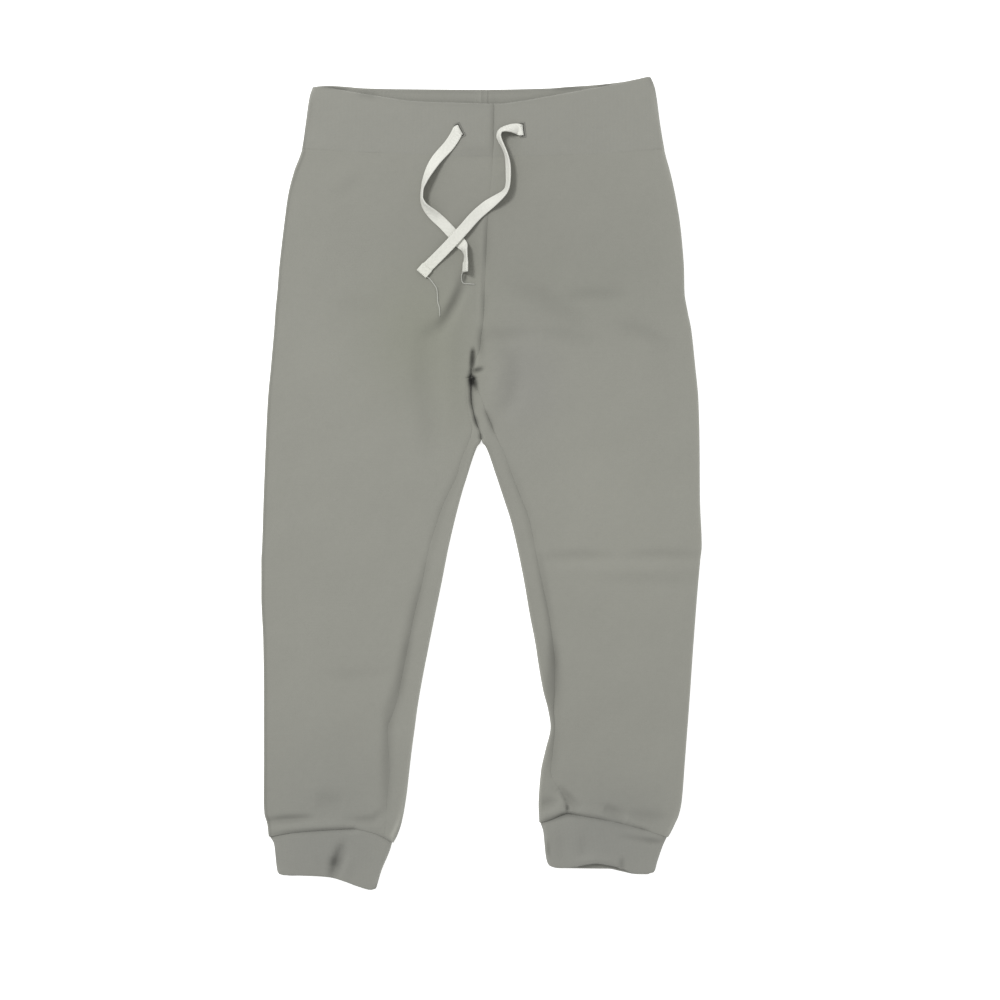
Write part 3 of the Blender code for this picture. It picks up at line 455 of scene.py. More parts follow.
# Camera and studio, in metres
LENS = 85
SENSOR = 36
VIEW_WIDTH = 0.615  # width of the floor that the picture takes in
VIEW_CENTRE = (0.0114, -0.0098)
KEY = (21.5, 0.42, (-0.8, 0.8, 1.6))  # watts, size and place of the lamp
SKY = 0.70  # strength of the light from all round
WHITE = (1, 1, 1, 1)
PAPER = (0.93, 0.93, 0.93, 1)
PAPER_GLOW = 0.6  # strength of the light that the floor gives off, so that it stays white
FLOOR_SIZE = 6
FLOOR_HEIGHT = -0.0002  # just clear of the cloth


class Line:
    """A smooth curve through (place, value) points, with no overshoot."""

    def __init__(self, points):
        ordered = sorted(points)
        self.x = np.array([p[0] for p in ordered], float)
        self.y = np.array([p[1] for p in ordered], float)
        step = np.diff(self.y) / np.diff(self.x)
        before, after = step[:-1], step[1:]
        same = before * after > 0
        inner = np.where(same, 2 * before * after / np.where(same, before + after, 1.0), 0.0)
        self.slope = np.concatenate([[step[0]], inner, [step[-1]]])

    def __call__(self, at):
        at = np.clip(at, self.x[0], self.x[-1])
        k = np.clip(np.searchsorted(self.x, at, "right") - 1, 0, len(self.x) - 2)
        span = self.x[k + 1] - self.x[k]
        t = (at - self.x[k]) / span
        start = self.y[k] * (1 + 2 * t) + self.slope[k] * span * t
        end = self.y[k + 1] * (3 - 2 * t) - self.slope[k + 1] * span * (1 - t)
        return start * (1 - t) ** 2 + end * t**2


def column(rows, key, value):
    return Line([(getattr(row, key), getattr(row, value)) for row in rows])


OUTER_EDGE = {side: column(OUTER, "y", name) for side, name in SIDE_NAMES.items()}
INNER_FOLD, INSEAM, INSEAM_GROOVE = (
    {side: column(rows, "y", name) for side, rows in INNER.items()}
    for name in ("fold", "inseam", "groove"))
MIDDLE_X, MIDDLE_DROP, MIDDLE_RADIUS, MIDDLE_GAP = (
    column(MIDDLE, "y", name) for name in ("x", "drop", "radius", "gap"))
UNDER_LIFT = Line(UNDER_SEAM)
WAIST_LINE = Line(WAIST_SEAM)
CUFF_LINE = {side: Line(rows) for side, rows in CUFF_SEAM.items()}
WAIST_DROP = Line(WAIST_SINK)
CUFF_DROP = {side: Line(rows) for side, rows in CUFF_SINK.items()}


def ease(t):
    t = np.clip(t, 0.0, 1.0)
    return t * t * (3 - 2 * t)


def cap(t):
    """Height of a quarter circle, from 0 at its side to 1 at its top."""
    return np.sqrt(1 - (1 - np.clip(t, 0.0, 1.0)) ** 2)


def sink(off, reach=SEAM_ROUND):
    """Share of a seam's depth at a distance from it."""
    return (1 - np.clip(off / reach, 0.0, 1.0)) ** 2


def crease_height(crease, x, y):
    """What one crease adds at each place, fading out at its ends."""
    points = np.array(crease.points, float)
    legs = np.diff(points, axis=0)
    lengths = np.hypot(*legs.T)
    nearest = np.full(x.shape, np.inf)
    along = np.zeros(x.shape)
    run = 0.0
    for start, leg, length in zip(points, legs, lengths):
        share = ((x - start[0]) * leg[0] + (y - start[1]) * leg[1]) / length**2
        held = np.clip(share, 0, 1)
        off = np.hypot(x - start[0] - held * leg[0], y - start[1] - held * leg[1])
        closer = off < nearest
        nearest = np.where(closer, off, nearest)
        along = np.where(closer, (run + held * length) / lengths.sum(), along)
        run += length
    fade = CREASE_END + (1 - CREASE_END) * np.sin(np.pi * along) ** CREASE_SWELL
    return crease.height * fade * np.exp(-((nearest / crease.half) ** 2))


def crease_sum(creases, x, y):
    return sum(crease_height(crease, x, y) for crease in creases)


def waves(x, y):
    """Slow unevenness of cloth that has been smoothed by hand."""
    height = np.zeros(x.shape)
    for wave in WAVES:
        angle = math.radians(wave.angle)
        run = x * math.cos(angle) + y * math.sin(angle)
        bend = WAVE_BEND * np.sin((y * math.cos(angle) - x * math.sin(angle)) / wave.length)
        height += wave.height * np.sin(2 * math.pi * run / wave.length + wave.shift + bend)
    return height


def edge_rise(off):
    """Extra height of the front beside a turned edge, where the cloth stands rounder."""
    return np.exp(-np.maximum(off - TURN, 0) / EDGE_REACH)


def leg_height(side, x, y):
    """Outside height of the front, away from its turned edges and seams."""
    across = side * x
    rise = 2 * TURN - LAY
    height = LAY + rise * edge_rise(OUTER_EDGE[side](y) - across)
    parted = ease((CROSS - y) / (CROSS - APEX))
    height = height + rise * edge_rise(across - INNER_FOLD[side](y)) * parted
    height = height + (BAND_LAY - LAY) * np.exp(-np.maximum(WAIST - y, 0) / SEAM_REACH)
    height = height + (BAND_LAY - LAY) * np.exp(-np.maximum(y - ANKLE, 0) / SEAM_REACH)
    return height + crease_sum(CREASES, x, warp(side, x, y)) + waves(x, y)


def front_height(side, x, y, off):
    """Outside height of the front, a distance off its inner fold or middle seam."""
    height = leg_height(side, x, y)
    parted = ease((y - APEX) / PARTING)
    drop = (height - TURN) * (1 - parted) + MIDDLE_DROP(y) * parted
    deep = ease((MIDDLE_DROP(y) - SOFT_DROP) / SOFT_DROP)
    soft = sink(off, MIDDLE_RADIUS(y))
    profile = soft + (1 - cap(off / MIDDLE_RADIUS(y)) - soft) * deep
    sunk = np.maximum(height - drop * profile, LOWEST)
    turned = TURN + (height - TURN) * cap(off / TURN)
    height = np.where(y > APEX, sunk, turned)
    outer_off = OUTER_EDGE[side](y) - side * x
    return TURN + (height - TURN) * cap(outer_off / TURN)


def ends_sink(side, x, y):
    """How far the front sinks at the waistband and cuff seams."""
    return WAIST_DROP(x) * sink(WAIST - y) + CUFF_DROP[side](x) * sink(y - ANKLE)


def warp(side, x, y):
    """Bends the rows so that they follow the waistband and cuff seams."""
    at_waist = (WAIST_LINE(x) - WAIST) * ease(1 - (WAIST - y) / WARP)
    at_ankle = (CUFF_LINE[side](x) - ANKLE) * ease(1 - (y - ANKLE) / WARP)
    return y + at_waist + at_ankle


EDGE_STEPS = np.array([0.0, 0.08, 0.25, 0.5, 0.85, 1.3, 1.9, 2.6])
TURN_STEPS = TURN * (1 - np.cos(np.radians(np.linspace(0, 90, 10))))
SEAM_STEPS = np.concatenate([EDGE_STEPS, np.arange(3.0, 14.0, 0.6)])
RIDGE_STEPS = np.array([4.6, 4.0, 3.6, 3.2, 2.8])  # over the allowance at centre back
RIM_ANGLES = np.radians(np.linspace(15, 165, 6))
STRIP_ROOM = 0.6  # least width left between the turned and the seamed edge of a strip
DOUBLE_STEP = 1.1  # between the rows of the waistband and the cuffs
ALLOWANCE_COLUMNS = 3  # how many the allowance covers before the last, close ones
STATION_ROWS = [(SEAT, 61), (APEX, 76), (SHIN, 115), (ANKLE + EDGE_STEPS[-1], 35)]
FRONT_COLUMNS = 84  # columns spread out between those at a panel's edges
BACK_COLUMNS = 64
WRAP_COLUMNS = 6
BAND_COLUMNS = (58, 52)  # on the front and on the underside
CUFF_COLUMNS = (64, 40)
FRONT_ANCHOR = 60  # column from which the flat cloth is measured
BACK_ANCHOR = 40


def stations():
    """Rows of the leg panels, as a column: close at their ends and at the crotch."""
    parts = [WAIST - EDGE_STEPS]
    for place, count in STATION_ROWS:
        first = parts[-1][-1]
        parts.append(np.linspace(first, place, count + 1)[1:])
    return np.concatenate(parts + [ANKLE + EDGE_STEPS[-2::-1]])[:, None]


def between(start, end, count):
    """Columns strictly between two, evenly spaced in each row."""
    return start + (end - start) * np.linspace(0, 1, count + 2)[1:-1]


def set_out(side, columns, y):
    """A panel's places off the middle line, with the row and the x of each."""
    place = np.concatenate(columns, axis=1)
    return place, np.repeat(y, place.shape[1], axis=1), side * place


def pinch(z, end_off):
    """How far a side seam draws the fold in, at its own height."""
    return SIDE_PINCH * sink(np.abs(z - TURN)) * (end_off < TURN)


def front_points(side):
    """A front panel, from its inner seam to its side seam."""
    y = stations()
    middle = side * MIDDLE_X(y) + MIDDLE_GAP(y)
    start = np.where(y <= CROSS, INSEAM[side](y) + SEAM_GAP, middle)
    line = np.where(y <= APEX, INNER_FOLD[side](y), middle)
    end = OUTER_EDGE[side](y)
    near = start + SEAM_STEPS
    wide = between(near[:, -1:], end - TURN, FRONT_COLUMNS)
    place, rows, x = set_out(side, [near, wide, end - TURN_STEPS[::-1]], y)
    z = front_height(side, x, rows, place - line)
    z -= np.where(rows <= CROSS, INSEAM_GROOVE[side](rows), 0.0) * sink(place - start)
    z -= ends_sink(side, x, rows) * cap((end - place) / TURN)
    x -= side * pinch(z, end - place)
    return np.stack([x, warp(side, x, rows), z], axis=2)


def under_points(side):
    """A back panel's underside, from its side seam to its inner fold or centre back."""
    y = stations()
    start = OUTER_EDGE[side](y)
    end = np.where(y > APEX, SEAM_GAP, INNER_FOLD[side](y))
    wide = between(start - TURN, end + TURN, BACK_COLUMNS)
    place, rows, x = set_out(side, [start - TURN_STEPS, wide, end + TURN_STEPS[::-1]], y)
    inner_lift = np.where(y > APEX, UNDER_LIFT(y), TURN)
    inner_radius = SEAM_ROUND + (TURN - SEAM_ROUND) * inner_lift / TURN
    outer_turn = cap((start - place) / TURN)
    inner_turn = cap((place - end) / inner_radius)
    z = TURN * (1 - outer_turn) + inner_lift * (1 - inner_turn)
    lifted = crease_sum(BACK_CREASES, x, rows) + UNDER_WAVES * np.maximum(waves(x, rows), 0)
    drawn = UNDER_DROP * (sink(WAIST - rows) + sink(rows - ANKLE))
    z += (lifted + drawn) * outer_turn * inner_turn
    x -= side * pinch(z, start - place)
    return np.stack([x, warp(side, x, rows), z], axis=2)


def wrap_points(side):
    """The strip of a back panel that shows on the front, from its fold to the inseam."""
    y = stations()
    y = y[y <= CROSS][:, None]
    line = np.where(y > APEX, side * MIDDLE_X(y) + MIDDLE_GAP(y), INNER_FOLD[side](y))
    width = INSEAM[side](y) - SEAM_GAP - line
    squeeze = np.minimum(1.0, width / (TURN + EDGE_STEPS[-1] + STRIP_ROOM))
    first = TURN_STEPS * squeeze
    last = width - EDGE_STEPS[::-1] * squeeze
    off = [first, between(first[:, -1:], last[:, :1], WRAP_COLUMNS), last]
    off = np.concatenate(off, axis=1)
    _, rows, x = set_out(side, [line + off], y)
    z = front_height(side, x, rows, off)
    z -= INSEAM_GROOVE[side](rows) * sink(width - off) * cap(off / SEAM_ROUND)
    z -= ends_sink(side, x, rows) * cap(off / TURN)
    return np.stack([x, warp(side, x, rows), z], axis=2)


def cross_place(ends, share, seam, edge, along):
    """Places in a waistband or cuff, between its seam and its free edge."""
    x0, y0, x1, y1 = (column(ends, "share", key) for key in ("x0", "y0", "x1", "y1"))
    x = x0(share) + (x1(share) - x0(share)) * along
    y = y0(share) + (y1(share) - y0(share)) * along

    def sag(line, at):
        chord = y0(at) + (y1(at) - y0(at)) * along
        return Line(line)(x0(at) + (x1(at) - x0(at)) * along) - chord

    return x, y + sag(seam, 0.0) * (1 - share) + sag(edge, 1.0) * share


def cross_shares(depth):
    """Rows of a waistband or cuff, from its seam to where its edge turns over."""
    top = depth - DOUBLE / 2
    count = int(depth / DOUBLE_STEP)
    steps = np.concatenate([EDGE_STEPS, np.linspace(EDGE_STEPS[-1], top, count)[1:]])
    return (steps / depth)[:, None]


def double_front(x, y, off, depth, drop, creases):
    """Outside heights of a double piece's front, off its turned edges and its seam."""
    height = BAND_LAY + (2 * TURN - BAND_LAY) * edge_rise(off) + crease_sum(creases, x, y)
    height = height + DOUBLE_WAVES * waves(x, y) - drop(x) * sink(depth)
    return TURN + (height - TURN) * cap(off / TURN)


def double_under(x, y, off, depth):
    """Outside heights of its underside."""
    lifted = DOUBLE_UNDER_WAVES * np.maximum(waves(x, y), 0) + UNDER_DROP * sink(depth)
    return TURN + (lifted - TURN) * cap(off / TURN)


def band_surface(side):
    """Outside of half the waistband, from centre front over the side to centre back."""
    share = cross_shares(BAND_DEPTH)
    depth = BAND_DEPTH * share
    x0, x1 = (column(BAND_ENDS, "share", key)(share) for key in ("x0", "x1"))
    edge = x1 if side == LEFT else -x0
    start = side * MIDDLE_X(WAIST + depth) + SEAM_GAP
    near = start + EDGE_STEPS
    close = SEAM_GAP + EDGE_STEPS[::-1] + 0 * edge
    ridge = SEAM_GAP + RIDGE_STEPS + 0 * edge
    wide = between(near[:, -1:], edge - TURN, BAND_COLUMNS[0])
    front = [near, wide, edge - TURN_STEPS[::-1]]
    wide = between(edge - TURN, ridge[:, :1], BAND_COLUMNS[1])
    back = [edge - TURN_STEPS[1:], wide, ridge, close]
    faces = []
    for columns, line in ((front, FRONT_TOP), (back, BACK_TOP)):
        place = np.concatenate(columns, axis=1)
        along = (side * place - x0) / (x1 - x0)
        x, y = cross_place(BAND_ENDS, share, WAIST_SEAM, line, along)
        if columns is front:
            z = double_front(x, y, edge - place, depth, WAIST_DROP, [])
            z -= MIDDLE_DROP(WAIST + depth) * sink(place - start)
        else:
            z = double_under(x, y, edge - place, depth) + UNDER_DROP * sink(place - SEAM_GAP)
        faces.append(np.stack([x, y, z], axis=2))
    return np.concatenate(faces, axis=1)


def cuff_surface(side):
    """Outside of a cuff, once round: over its front, then back along its underside."""
    ends = CUFF_ENDS[side]
    share = cross_shares(CUFF_DEPTH)
    depth = CUFF_DEPTH * share
    width = column(ends, "share", "x1")(share) - column(ends, "share", "x0")(share)
    left = TURN_STEPS + 0 * width
    right = width - TURN_STEPS[::-1]
    over = [left, between(left[:, -1:], right[:, :1], CUFF_COLUMNS[0]), right]
    wide = between(width - TURN, left[:, -1:], CUFF_COLUMNS[1])
    under = [width - TURN_STEPS[1:], wide, left[:, :0:-1]]
    faces = []
    for columns, line in ((over, FRONT_HEM[side]), (under, HEM[side])):
        place = np.concatenate(columns, axis=1)
        off = np.minimum(place, width - place)
        x, y = cross_place(ends, share, CUFF_SEAM[side], line, place / width)
        if columns is over:
            z = double_front(x, y, off, depth, CUFF_DROP[side], CUFF_CREASES)
        else:
            z = double_under(x, y, off, depth)
        faces.append(np.stack([x, y, z], axis=2))
    return np.concatenate(faces, axis=1)


def unit(vectors):
    return vectors / np.linalg.norm(vectors, axis=-1, keepdims=True)


def outward(points, closed=False):
    """Unit normals of a grid that face away from the cloth's inside, and its way up."""
    if closed:
        padded = np.concatenate([points[:, -1:], points, points[:, :1]], axis=1)
        across = np.gradient(padded, axis=1)[:, 1:-1]
    else:
        across = np.gradient(points, axis=1)
    down = np.gradient(points, axis=0)
    normal = unit(np.cross(across, down))
    if normal[len(points) // 2, points.shape[1] // 4, 2] < 0:
        normal = -normal
    return normal, unit(down)


def double_wall(points, closed=False):
    """Folds cloth double: up the outside, over the free edge and down the inside."""
    normal, ahead = outward(points, closed)
    thick = np.full(points.shape[:2], DOUBLE)
    if not closed:
        ends = len(EDGE_STEPS)
        normal[:, :ends] = normal[:, ends:ends + 1]
        normal[:, -ends:] = normal[:, -ends - 1:-ends]
        thick[:, -ends - ALLOWANCE_COLUMNS:] += ALLOWANCE
    middle = points[-1] - normal[-1] * DOUBLE / 2
    rim = [middle + DOUBLE / 2 * (math.cos(a) * normal[-1] + math.sin(a) * ahead[-1])
           for a in RIM_ANGLES]
    inner = (points - normal * thick[:, :, None])[::-1]
    return np.concatenate([points, np.array(rim), inner], axis=0)


def arc(points, axis, anchor=0):
    """Length along a grid's rows or columns, from an anchor."""
    step = np.linalg.norm(np.diff(points, axis=axis), axis=2)
    first = np.zeros_like(np.take(step, [0], axis=axis))
    run = np.concatenate([first, np.cumsum(step, axis=axis)], axis=axis)
    return run - np.take(run, [anchor], axis=axis)


def numbers_of(grid):
    """The number of each of a grid's points, row by row."""
    return np.arange(grid.shape[0] * grid.shape[1]).reshape(grid.shape[:2])


def quads_of(number):
    """Faces between the neighbours in a grid of point numbers."""
    quads = [number[:-1, :-1], number[:-1, 1:], number[1:, 1:], number[1:, :-1]]
    return np.stack(quads, axis=2).reshape(-1, 4)


def joined(grid, across, along=False, run=None):
    """A grid joined to itself across its columns, along its rows or both: its points, its
    faces, every point's place in the flat cloth and that of every face's corners."""
    if across:
        grid = np.concatenate([grid, grid[:, :1]], axis=1)
    if along:
        grid = np.concatenate([grid, grid[:1]], axis=0)
    number = numbers_of(grid)
    corners = quads_of(number)
    if along:
        number[-1] = number[0]
    if across:
        number[:, -1] = number[:, 0]
    up = arc(grid, 0) if run is None else np.repeat(run[:, None], grid.shape[1], axis=1)
    laid = np.stack([arc(grid, 1), up], axis=2).reshape(-1, 2)
    return grid, quads_of(number), laid, laid[corners]


def painted_edge_light(x, y, z):
    """Painted shade and light along the legs' folds, as a share."""
    change = np.zeros(x.shape)
    for side in SIDE_NAMES:
        outer = OUTER_EDGE[side](y) - side * x
        inner = np.where(y > APEX, np.inf, side * x - INNER_FOLD[side](y))
        for off, edge_light in ((outer, OUTER_EDGE_LIGHT[side]), (inner, INNER_EDGE_LIGHT[side])):
            change += edge_light.change * np.exp(-(((off - edge_light.off) / edge_light.reach) ** 2))
    return change * ease(z / SHELL - 1)


def tone(points, gets_painted_shade):
    """Uneven tone of a piece, with painted shade and light on cloth: red, green and blue at each point."""
    made = np.ones((len(points), 4))
    for spot in TONES:
        x = (points[:, 0] - spot.x) / spot.reach_x
        y = (points[:, 1] - spot.y) / spot.reach_y
        made[:, :3] += np.exp(-x * x - y * y)[:, None] * (spot.red, spot.green, spot.blue)
    if gets_painted_shade:
        x, y, z = points.T
        # painted shade in creases and along seams and folds, with painted light and shade along the edges
        painted_shade = SHADE_DEPTH * np.minimum(crease_sum(CREASES + CUFF_CREASES, x, y), 0)
        painted_shade += crease_sum(PAINTED_SHADES, x, y) + painted_edge_light(x, y, z)
        painted_shade = np.maximum(painted_shade, DARKEST)
        # painted shade along the underside's drawn-up creases
        painted_underside_shade = -BACK_SHADE * crease_sum(BACK_CREASES, x, y)
        made[:, :3] *= 1 + np.where(z > SHELL, painted_shade, painted_underside_shade)[:, None]
    return made


def add_mesh(name, points, faces, laid, material, flip=False, wall=0.0):
    """Adds a mesh; laid holds each face corner's place in the flat cloth, in mm."""
    if flip:
        faces, laid = faces[:, ::-1], laid[:, ::-1]
    used, faces = np.unique(faces, return_inverse=True)
    points, faces = points[used], faces.reshape(-1, 4)
    mesh = bpy.data.meshes.new(name)
    mesh.from_pydata((points * MM).tolist(), [], faces.tolist(), shade_flat=False)
    mesh.uv_layers.new(name="cloth").data.foreach_set("uv", laid.reshape(-1))
    # the tone attribute: uneven tone, and on the fleece and band painted shade and light
    shade = mesh.color_attributes.new("tone", "FLOAT_COLOR", "POINT")
    shade.data.foreach_set("color", tone(points, material in (FLEECE, BAND)).ravel())
    mesh.validate()
    mesh.materials.append(material)
    piece = bpy.data.objects.new(name, mesh)
    bpy.context.scene.collection.objects.link(piece)
    if wall:
        solid = piece.modifiers.new("Cloth wall", "SOLIDIFY")
        solid.thickness = wall * MM
        solid.offset = -1
    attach(piece, "root")
    return piece


def laid_flat(points, anchor=0):
    """Places in the flat cloth: along each row from an anchor, and up the piece."""
    return np.stack([arc(points, 1, anchor), points[:, :, 1]], axis=2)


def add_front(side):
    points = front_points(side)
    quads = quads_of(numbers_of(points))
    laid = laid_flat(points, FRONT_ANCHOR)
    laid[:, :, 0] += side * points[:, [FRONT_ANCHOR], 0]
    name = "front_" + SIDE_NAMES[side]
    piece = add_mesh(name + "_cloth", points.reshape(-1, 3), quads,
                     laid.reshape(-1, 2)[quads], FLEECE, side == LEFT, SHELL)
    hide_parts(name)
    return piece


def add_back(side):
    """A back panel. Its shown strip and its underside are one below the apex."""
    under, wrap = under_points(side), wrap_points(side)
    under_quads, wrap_quads = quads_of(numbers_of(under)), quads_of(numbers_of(wrap))
    laid = laid_flat(under, BACK_ANCHOR)
    laid[:, :, 0] = side * under[:, [BACK_ANCHOR], 0] - laid[:, :, 0]
    wrap_laid = laid_flat(wrap)
    wrap_laid[:, :, 0] = -wrap_laid[:, :, 0]
    numbers = numbers_of(under).size + numbers_of(wrap)
    skipped = len(under) - len(wrap)
    shared = stations()[skipped:, 0] <= APEX
    numbers[shared, 0] = numbers_of(under)[skipped:, -1][shared]
    points = np.concatenate([under.reshape(-1, 3), wrap.reshape(-1, 3)])
    faces = np.concatenate([under_quads, quads_of(numbers)])
    corners = [laid.reshape(-1, 2)[under_quads], wrap_laid.reshape(-1, 2)[wrap_quads]]
    name = "back_" + SIDE_NAMES[side]
    piece = add_mesh(name + "_cloth", points, faces, np.concatenate(corners),
                     FLEECE, side == LEFT, SHELL)
    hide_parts(name)
    return piece


def ring_cap(count):
    """Faces that close a flat ring of so many points."""
    half = np.arange(count // 2 - 1)
    far = count - 1 - half
    return np.stack([half, half + 1, far - 1, far], axis=1)


def cut_slit(piece, side):
    """Cuts the buttonhole that the drawstring's end comes out of."""
    slit = SLITS[side]
    bpy.ops.mesh.primitive_cube_add(size=MM)
    cutter = bpy.context.object
    cutter.scale = (SLIT_LENGTH, SLIT_WIDTH, 2 * SLIT_DEPTH)
    cutter.location = (slit.x * MM, slit.y * MM, BAND_LAY * MM)
    cutter.rotation_euler.z = math.radians(slit.angle)
    cut = piece.modifiers.new("Buttonhole", "BOOLEAN")
    cut.operation = "DIFFERENCE"
    cut.solver = "EXACT"
    cut.object = cutter
    shaped = piece.evaluated_get(bpy.context.evaluated_depsgraph_get())
    mesh = bpy.data.meshes.new_from_object(shaped)
    piece.modifiers.clear()
    piece.data = mesh
    bpy.data.objects.remove(cutter, do_unlink=True)


def add_double(name, points, closed, flip):
    """A waistband half or a cuff: a double wall, closed where its seam is."""
    wall, faces, laid, corners = joined(double_wall(points, closed), closed, True)
    if not closed:
        first = ring_cap(len(wall) - 1) * wall.shape[1]
        caps = np.concatenate([first, first[:, ::-1] + wall.shape[1] - 1])
        faces, corners = np.concatenate([faces, caps]), np.concatenate([corners, laid[caps]])
    piece = add_mesh(name + "_cloth", wall.reshape(-1, 3), faces, corners, BAND, flip)
    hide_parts(name)
    return piece


def cloth_height(x, y):
    """Outside height of the front at places of the waistband and the hips."""
    side = LEFT if x > MIDDLE_X(y) else RIGHT
    if y > WAIST_LINE(x):
        return BAND_LAY
    spot = np.array([x, y], float)
    off = abs(x - MIDDLE_X(y)) if y > CROSS else TURN
    return float(front_height(side, spot[:1], spot[1:], off)[0])


def smooth_path(points, steps):
    """A smooth curve through points, with so many places for each of them."""
    at = np.linspace(0, len(points) - 1, (len(points) - 1) * steps + 1)
    columns = [Line([(i, row[k]) for i, row in enumerate(points)])(at)
               for k in range(len(points[0]))]
    return np.stack(columns, axis=1)


def slit_frame(side):
    """Middle of a slit on the waistband, the way along it and the way out of it."""
    slit = SLITS[side]
    angle = math.radians(slit.angle)
    along = np.array([math.cos(angle), math.sin(angle), 0])
    out = np.array([-math.sin(angle), math.cos(angle), 0])
    return np.array([slit.x, slit.y, BAND_LAY]), along, out


def tape_frames(side):
    """Middle line of a drawstring end, its way across and its way up, in rings."""
    centre, _, out = slit_frame(side)
    start = [(*(centre + out * row.off)[:2], 0, row.lift) for row in EXIT]
    route = smooth_path(start + [tuple(row) for row in ROUTES[side]], TAPE_STEPS)
    flat = unit(np.gradient(route[:, :2], axis=0))
    roll = np.radians(route[:, 2])
    across = np.stack([-flat[:, 1] * np.cos(roll), flat[:, 0] * np.cos(roll), np.sin(roll)], axis=1)
    middle = np.empty((len(route), 3))
    middle[:, :2] = route[:, :2]
    for i, (x, y, _, lift) in enumerate(route):
        reach = [k * TAPE_WIDTH / 2 for k in (-1, -0.5, 0, 0.5, 1)]
        cloth = max(cloth_height(x + across[i, 0] * k, y + across[i, 1] * k) for k in reach)
        if lift < TAPE_REST:
            cloth = BAND_LAY
        middle[i, 2] = cloth + lift + abs(across[i, 2]) * TAPE_WIDTH / 2
    return middle, across, unit(np.cross(np.gradient(middle, axis=0), across))


def tape_section(thick, extra):
    """Outline of the tape: its upper face, rounded selvedges and lower face."""
    place, height = np.array(TAPE_OUTLINE).T
    across = np.concatenate([-place, place[::-1]]) * TAPE_WIDTH / 2
    high = np.concatenate([height, height[::-1]]) * thick / 2
    folded = extra * np.minimum(1, high / thick * FOLD_RISE)
    top = np.stack([across, high + folded], axis=1)
    under = np.stack([across[::-1], -high[::-1]], axis=1)
    return np.concatenate([top, under])


def add_tape(side):
    middle, across, upward = tape_frames(side)
    run = arc(middle[None, :, :], 1)[0]
    left = run[-1] - run
    rings = []
    for i in range(len(middle)):
        extra = TIP_FOLD * float(ease((TIP_HEM - left[i]) / TIP_STEP))
        size = float(cap((left[i] + TIP_END) / TIP_ROUND))
        section = tape_section(TAPE_THICK * size, extra * size)
        section[:, 0] *= 1 + TIP_SPREAD * extra / TIP_FOLD
        rings.append(middle[i] + section[:, :1] * across[i] + section[:, 1:] * upward[i])
    wall, faces, laid, corners = joined(np.array(rings), True, run=run)
    first = ring_cap(wall.shape[1] - 1)
    caps = np.concatenate([first[:, ::-1], first + (len(wall) - 1) * wall.shape[1]])
    name = "drawstring_" + SIDE_NAMES[side]
    piece = add_mesh(name + "_tape", wall.reshape(-1, 3), np.concatenate([faces, caps]),
                     np.concatenate([corners, laid[caps]]), TAPE)
    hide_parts(name)
    return piece, middle, across, upward, run


def add_strands(name, strands, material):
    """Adds round strands, each a radius with a list of (x, y, z) points, as one piece."""
    points, faces, corners, first = [], [], [], 0
    angles = np.linspace(0, 2 * math.pi, STRAND_SIDES + 1)[:-1, None]
    for radius, path in strands:
        path = np.asarray(path, float)
        ahead = unit(np.gradient(path, axis=0))
        seed = np.where(np.abs(ahead[:, 2:]) < STEEP, (0.0, 0.0, 1.0), (1.0, 0.0, 0.0))
        across = unit(np.cross(ahead, seed))
        upward = np.cross(across, ahead)
        sizes = np.full(len(path), radius)
        sizes[[0, -1]] = radius * STRAND_END
        rings = [path[i] + sizes[i] * (np.cos(angles) * across[i] + np.sin(angles) * upward[i])
                 for i in range(len(path))]
        wall, quads, _, laid = joined(np.array(rings), True)
        points.append(wall.reshape(-1, 3))
        faces.append(quads + first)
        corners.append(laid)
        first += len(points[-1])
    return add_mesh(name, np.concatenate(points), np.concatenate(faces),
                    np.concatenate(corners), material)


def tip_stitches(middle, across, upward, run):
    """Stitches across the tape's folded tip."""
    i = int(np.argmin(np.abs(run[-1] - run - TIP_SEAM)))
    base = middle[i] + upward[i] * (TAPE_THICK * TIP_BASE + TIP_FOLD)
    strands = []
    for start in TIP_STITCH * np.arange(TIP_STITCHES) - TIP_START:
        path = []
        for j in range(TIP_POINTS):
            raised = TIP_RAISE * math.sin(math.pi * j / (TIP_POINTS - 1)) - TIP_SUNK
            path.append(base + across[i] * (start + TIP_POINT * j) + upward[i] * raised)
        strands.append((TIP_RADIUS, path))
    return strands


def row_of_stitches(half):
    """Places of evenly spaced stitches, up to a distance either way of a row's middle."""
    return np.arange(-half, half + 0.01, STITCH_PITCH)


def buttonhole_stitches(side):
    """Close stitches round a slit, laid across its edge."""
    centre, along, out = slit_frame(side)
    half_length, half_width = SLIT_LENGTH / 2, SLIT_WIDTH / 2
    strands = []
    for way in (-1, 1):
        for at in row_of_stitches(half_length + STITCH_PAST):
            inner = centre + along * at + out * way * (half_width - SIDE_INSET)
            strands.append(stitch_over(inner, out * way))
        for at in row_of_stitches(half_width):
            inner = centre + along * way * (half_length - END_INSET) + out * at
            strands.append(stitch_over(inner, along * way))
    return strands


def stitch_over(start, way):
    """One raised stitch lying on the waistband."""
    path = []
    for share in np.linspace(0, 1, STITCH_POINTS):
        spot = start + way * STITCH_LENGTH * share
        ground = DOUBLE_WAVES * float(waves(spot[:1], spot[1:2])[0]) - STITCH_SUNK
        path.append(spot + (0, 0, ground + STITCH_RAISE * math.sin(math.pi * share)))
    return (STITCH_RADIUS, path)


def node(tree, kind, **values):
    made = tree.nodes.new(kind)
    for key, value in values.items():
        setattr(made, key, value)
    return made


def fill(made, **values):
    """Sets a node's inputs; a space in an input's name is an underscore here."""
    for key, value in values.items():
        made.inputs[key.replace("_", " ")].default_value = value


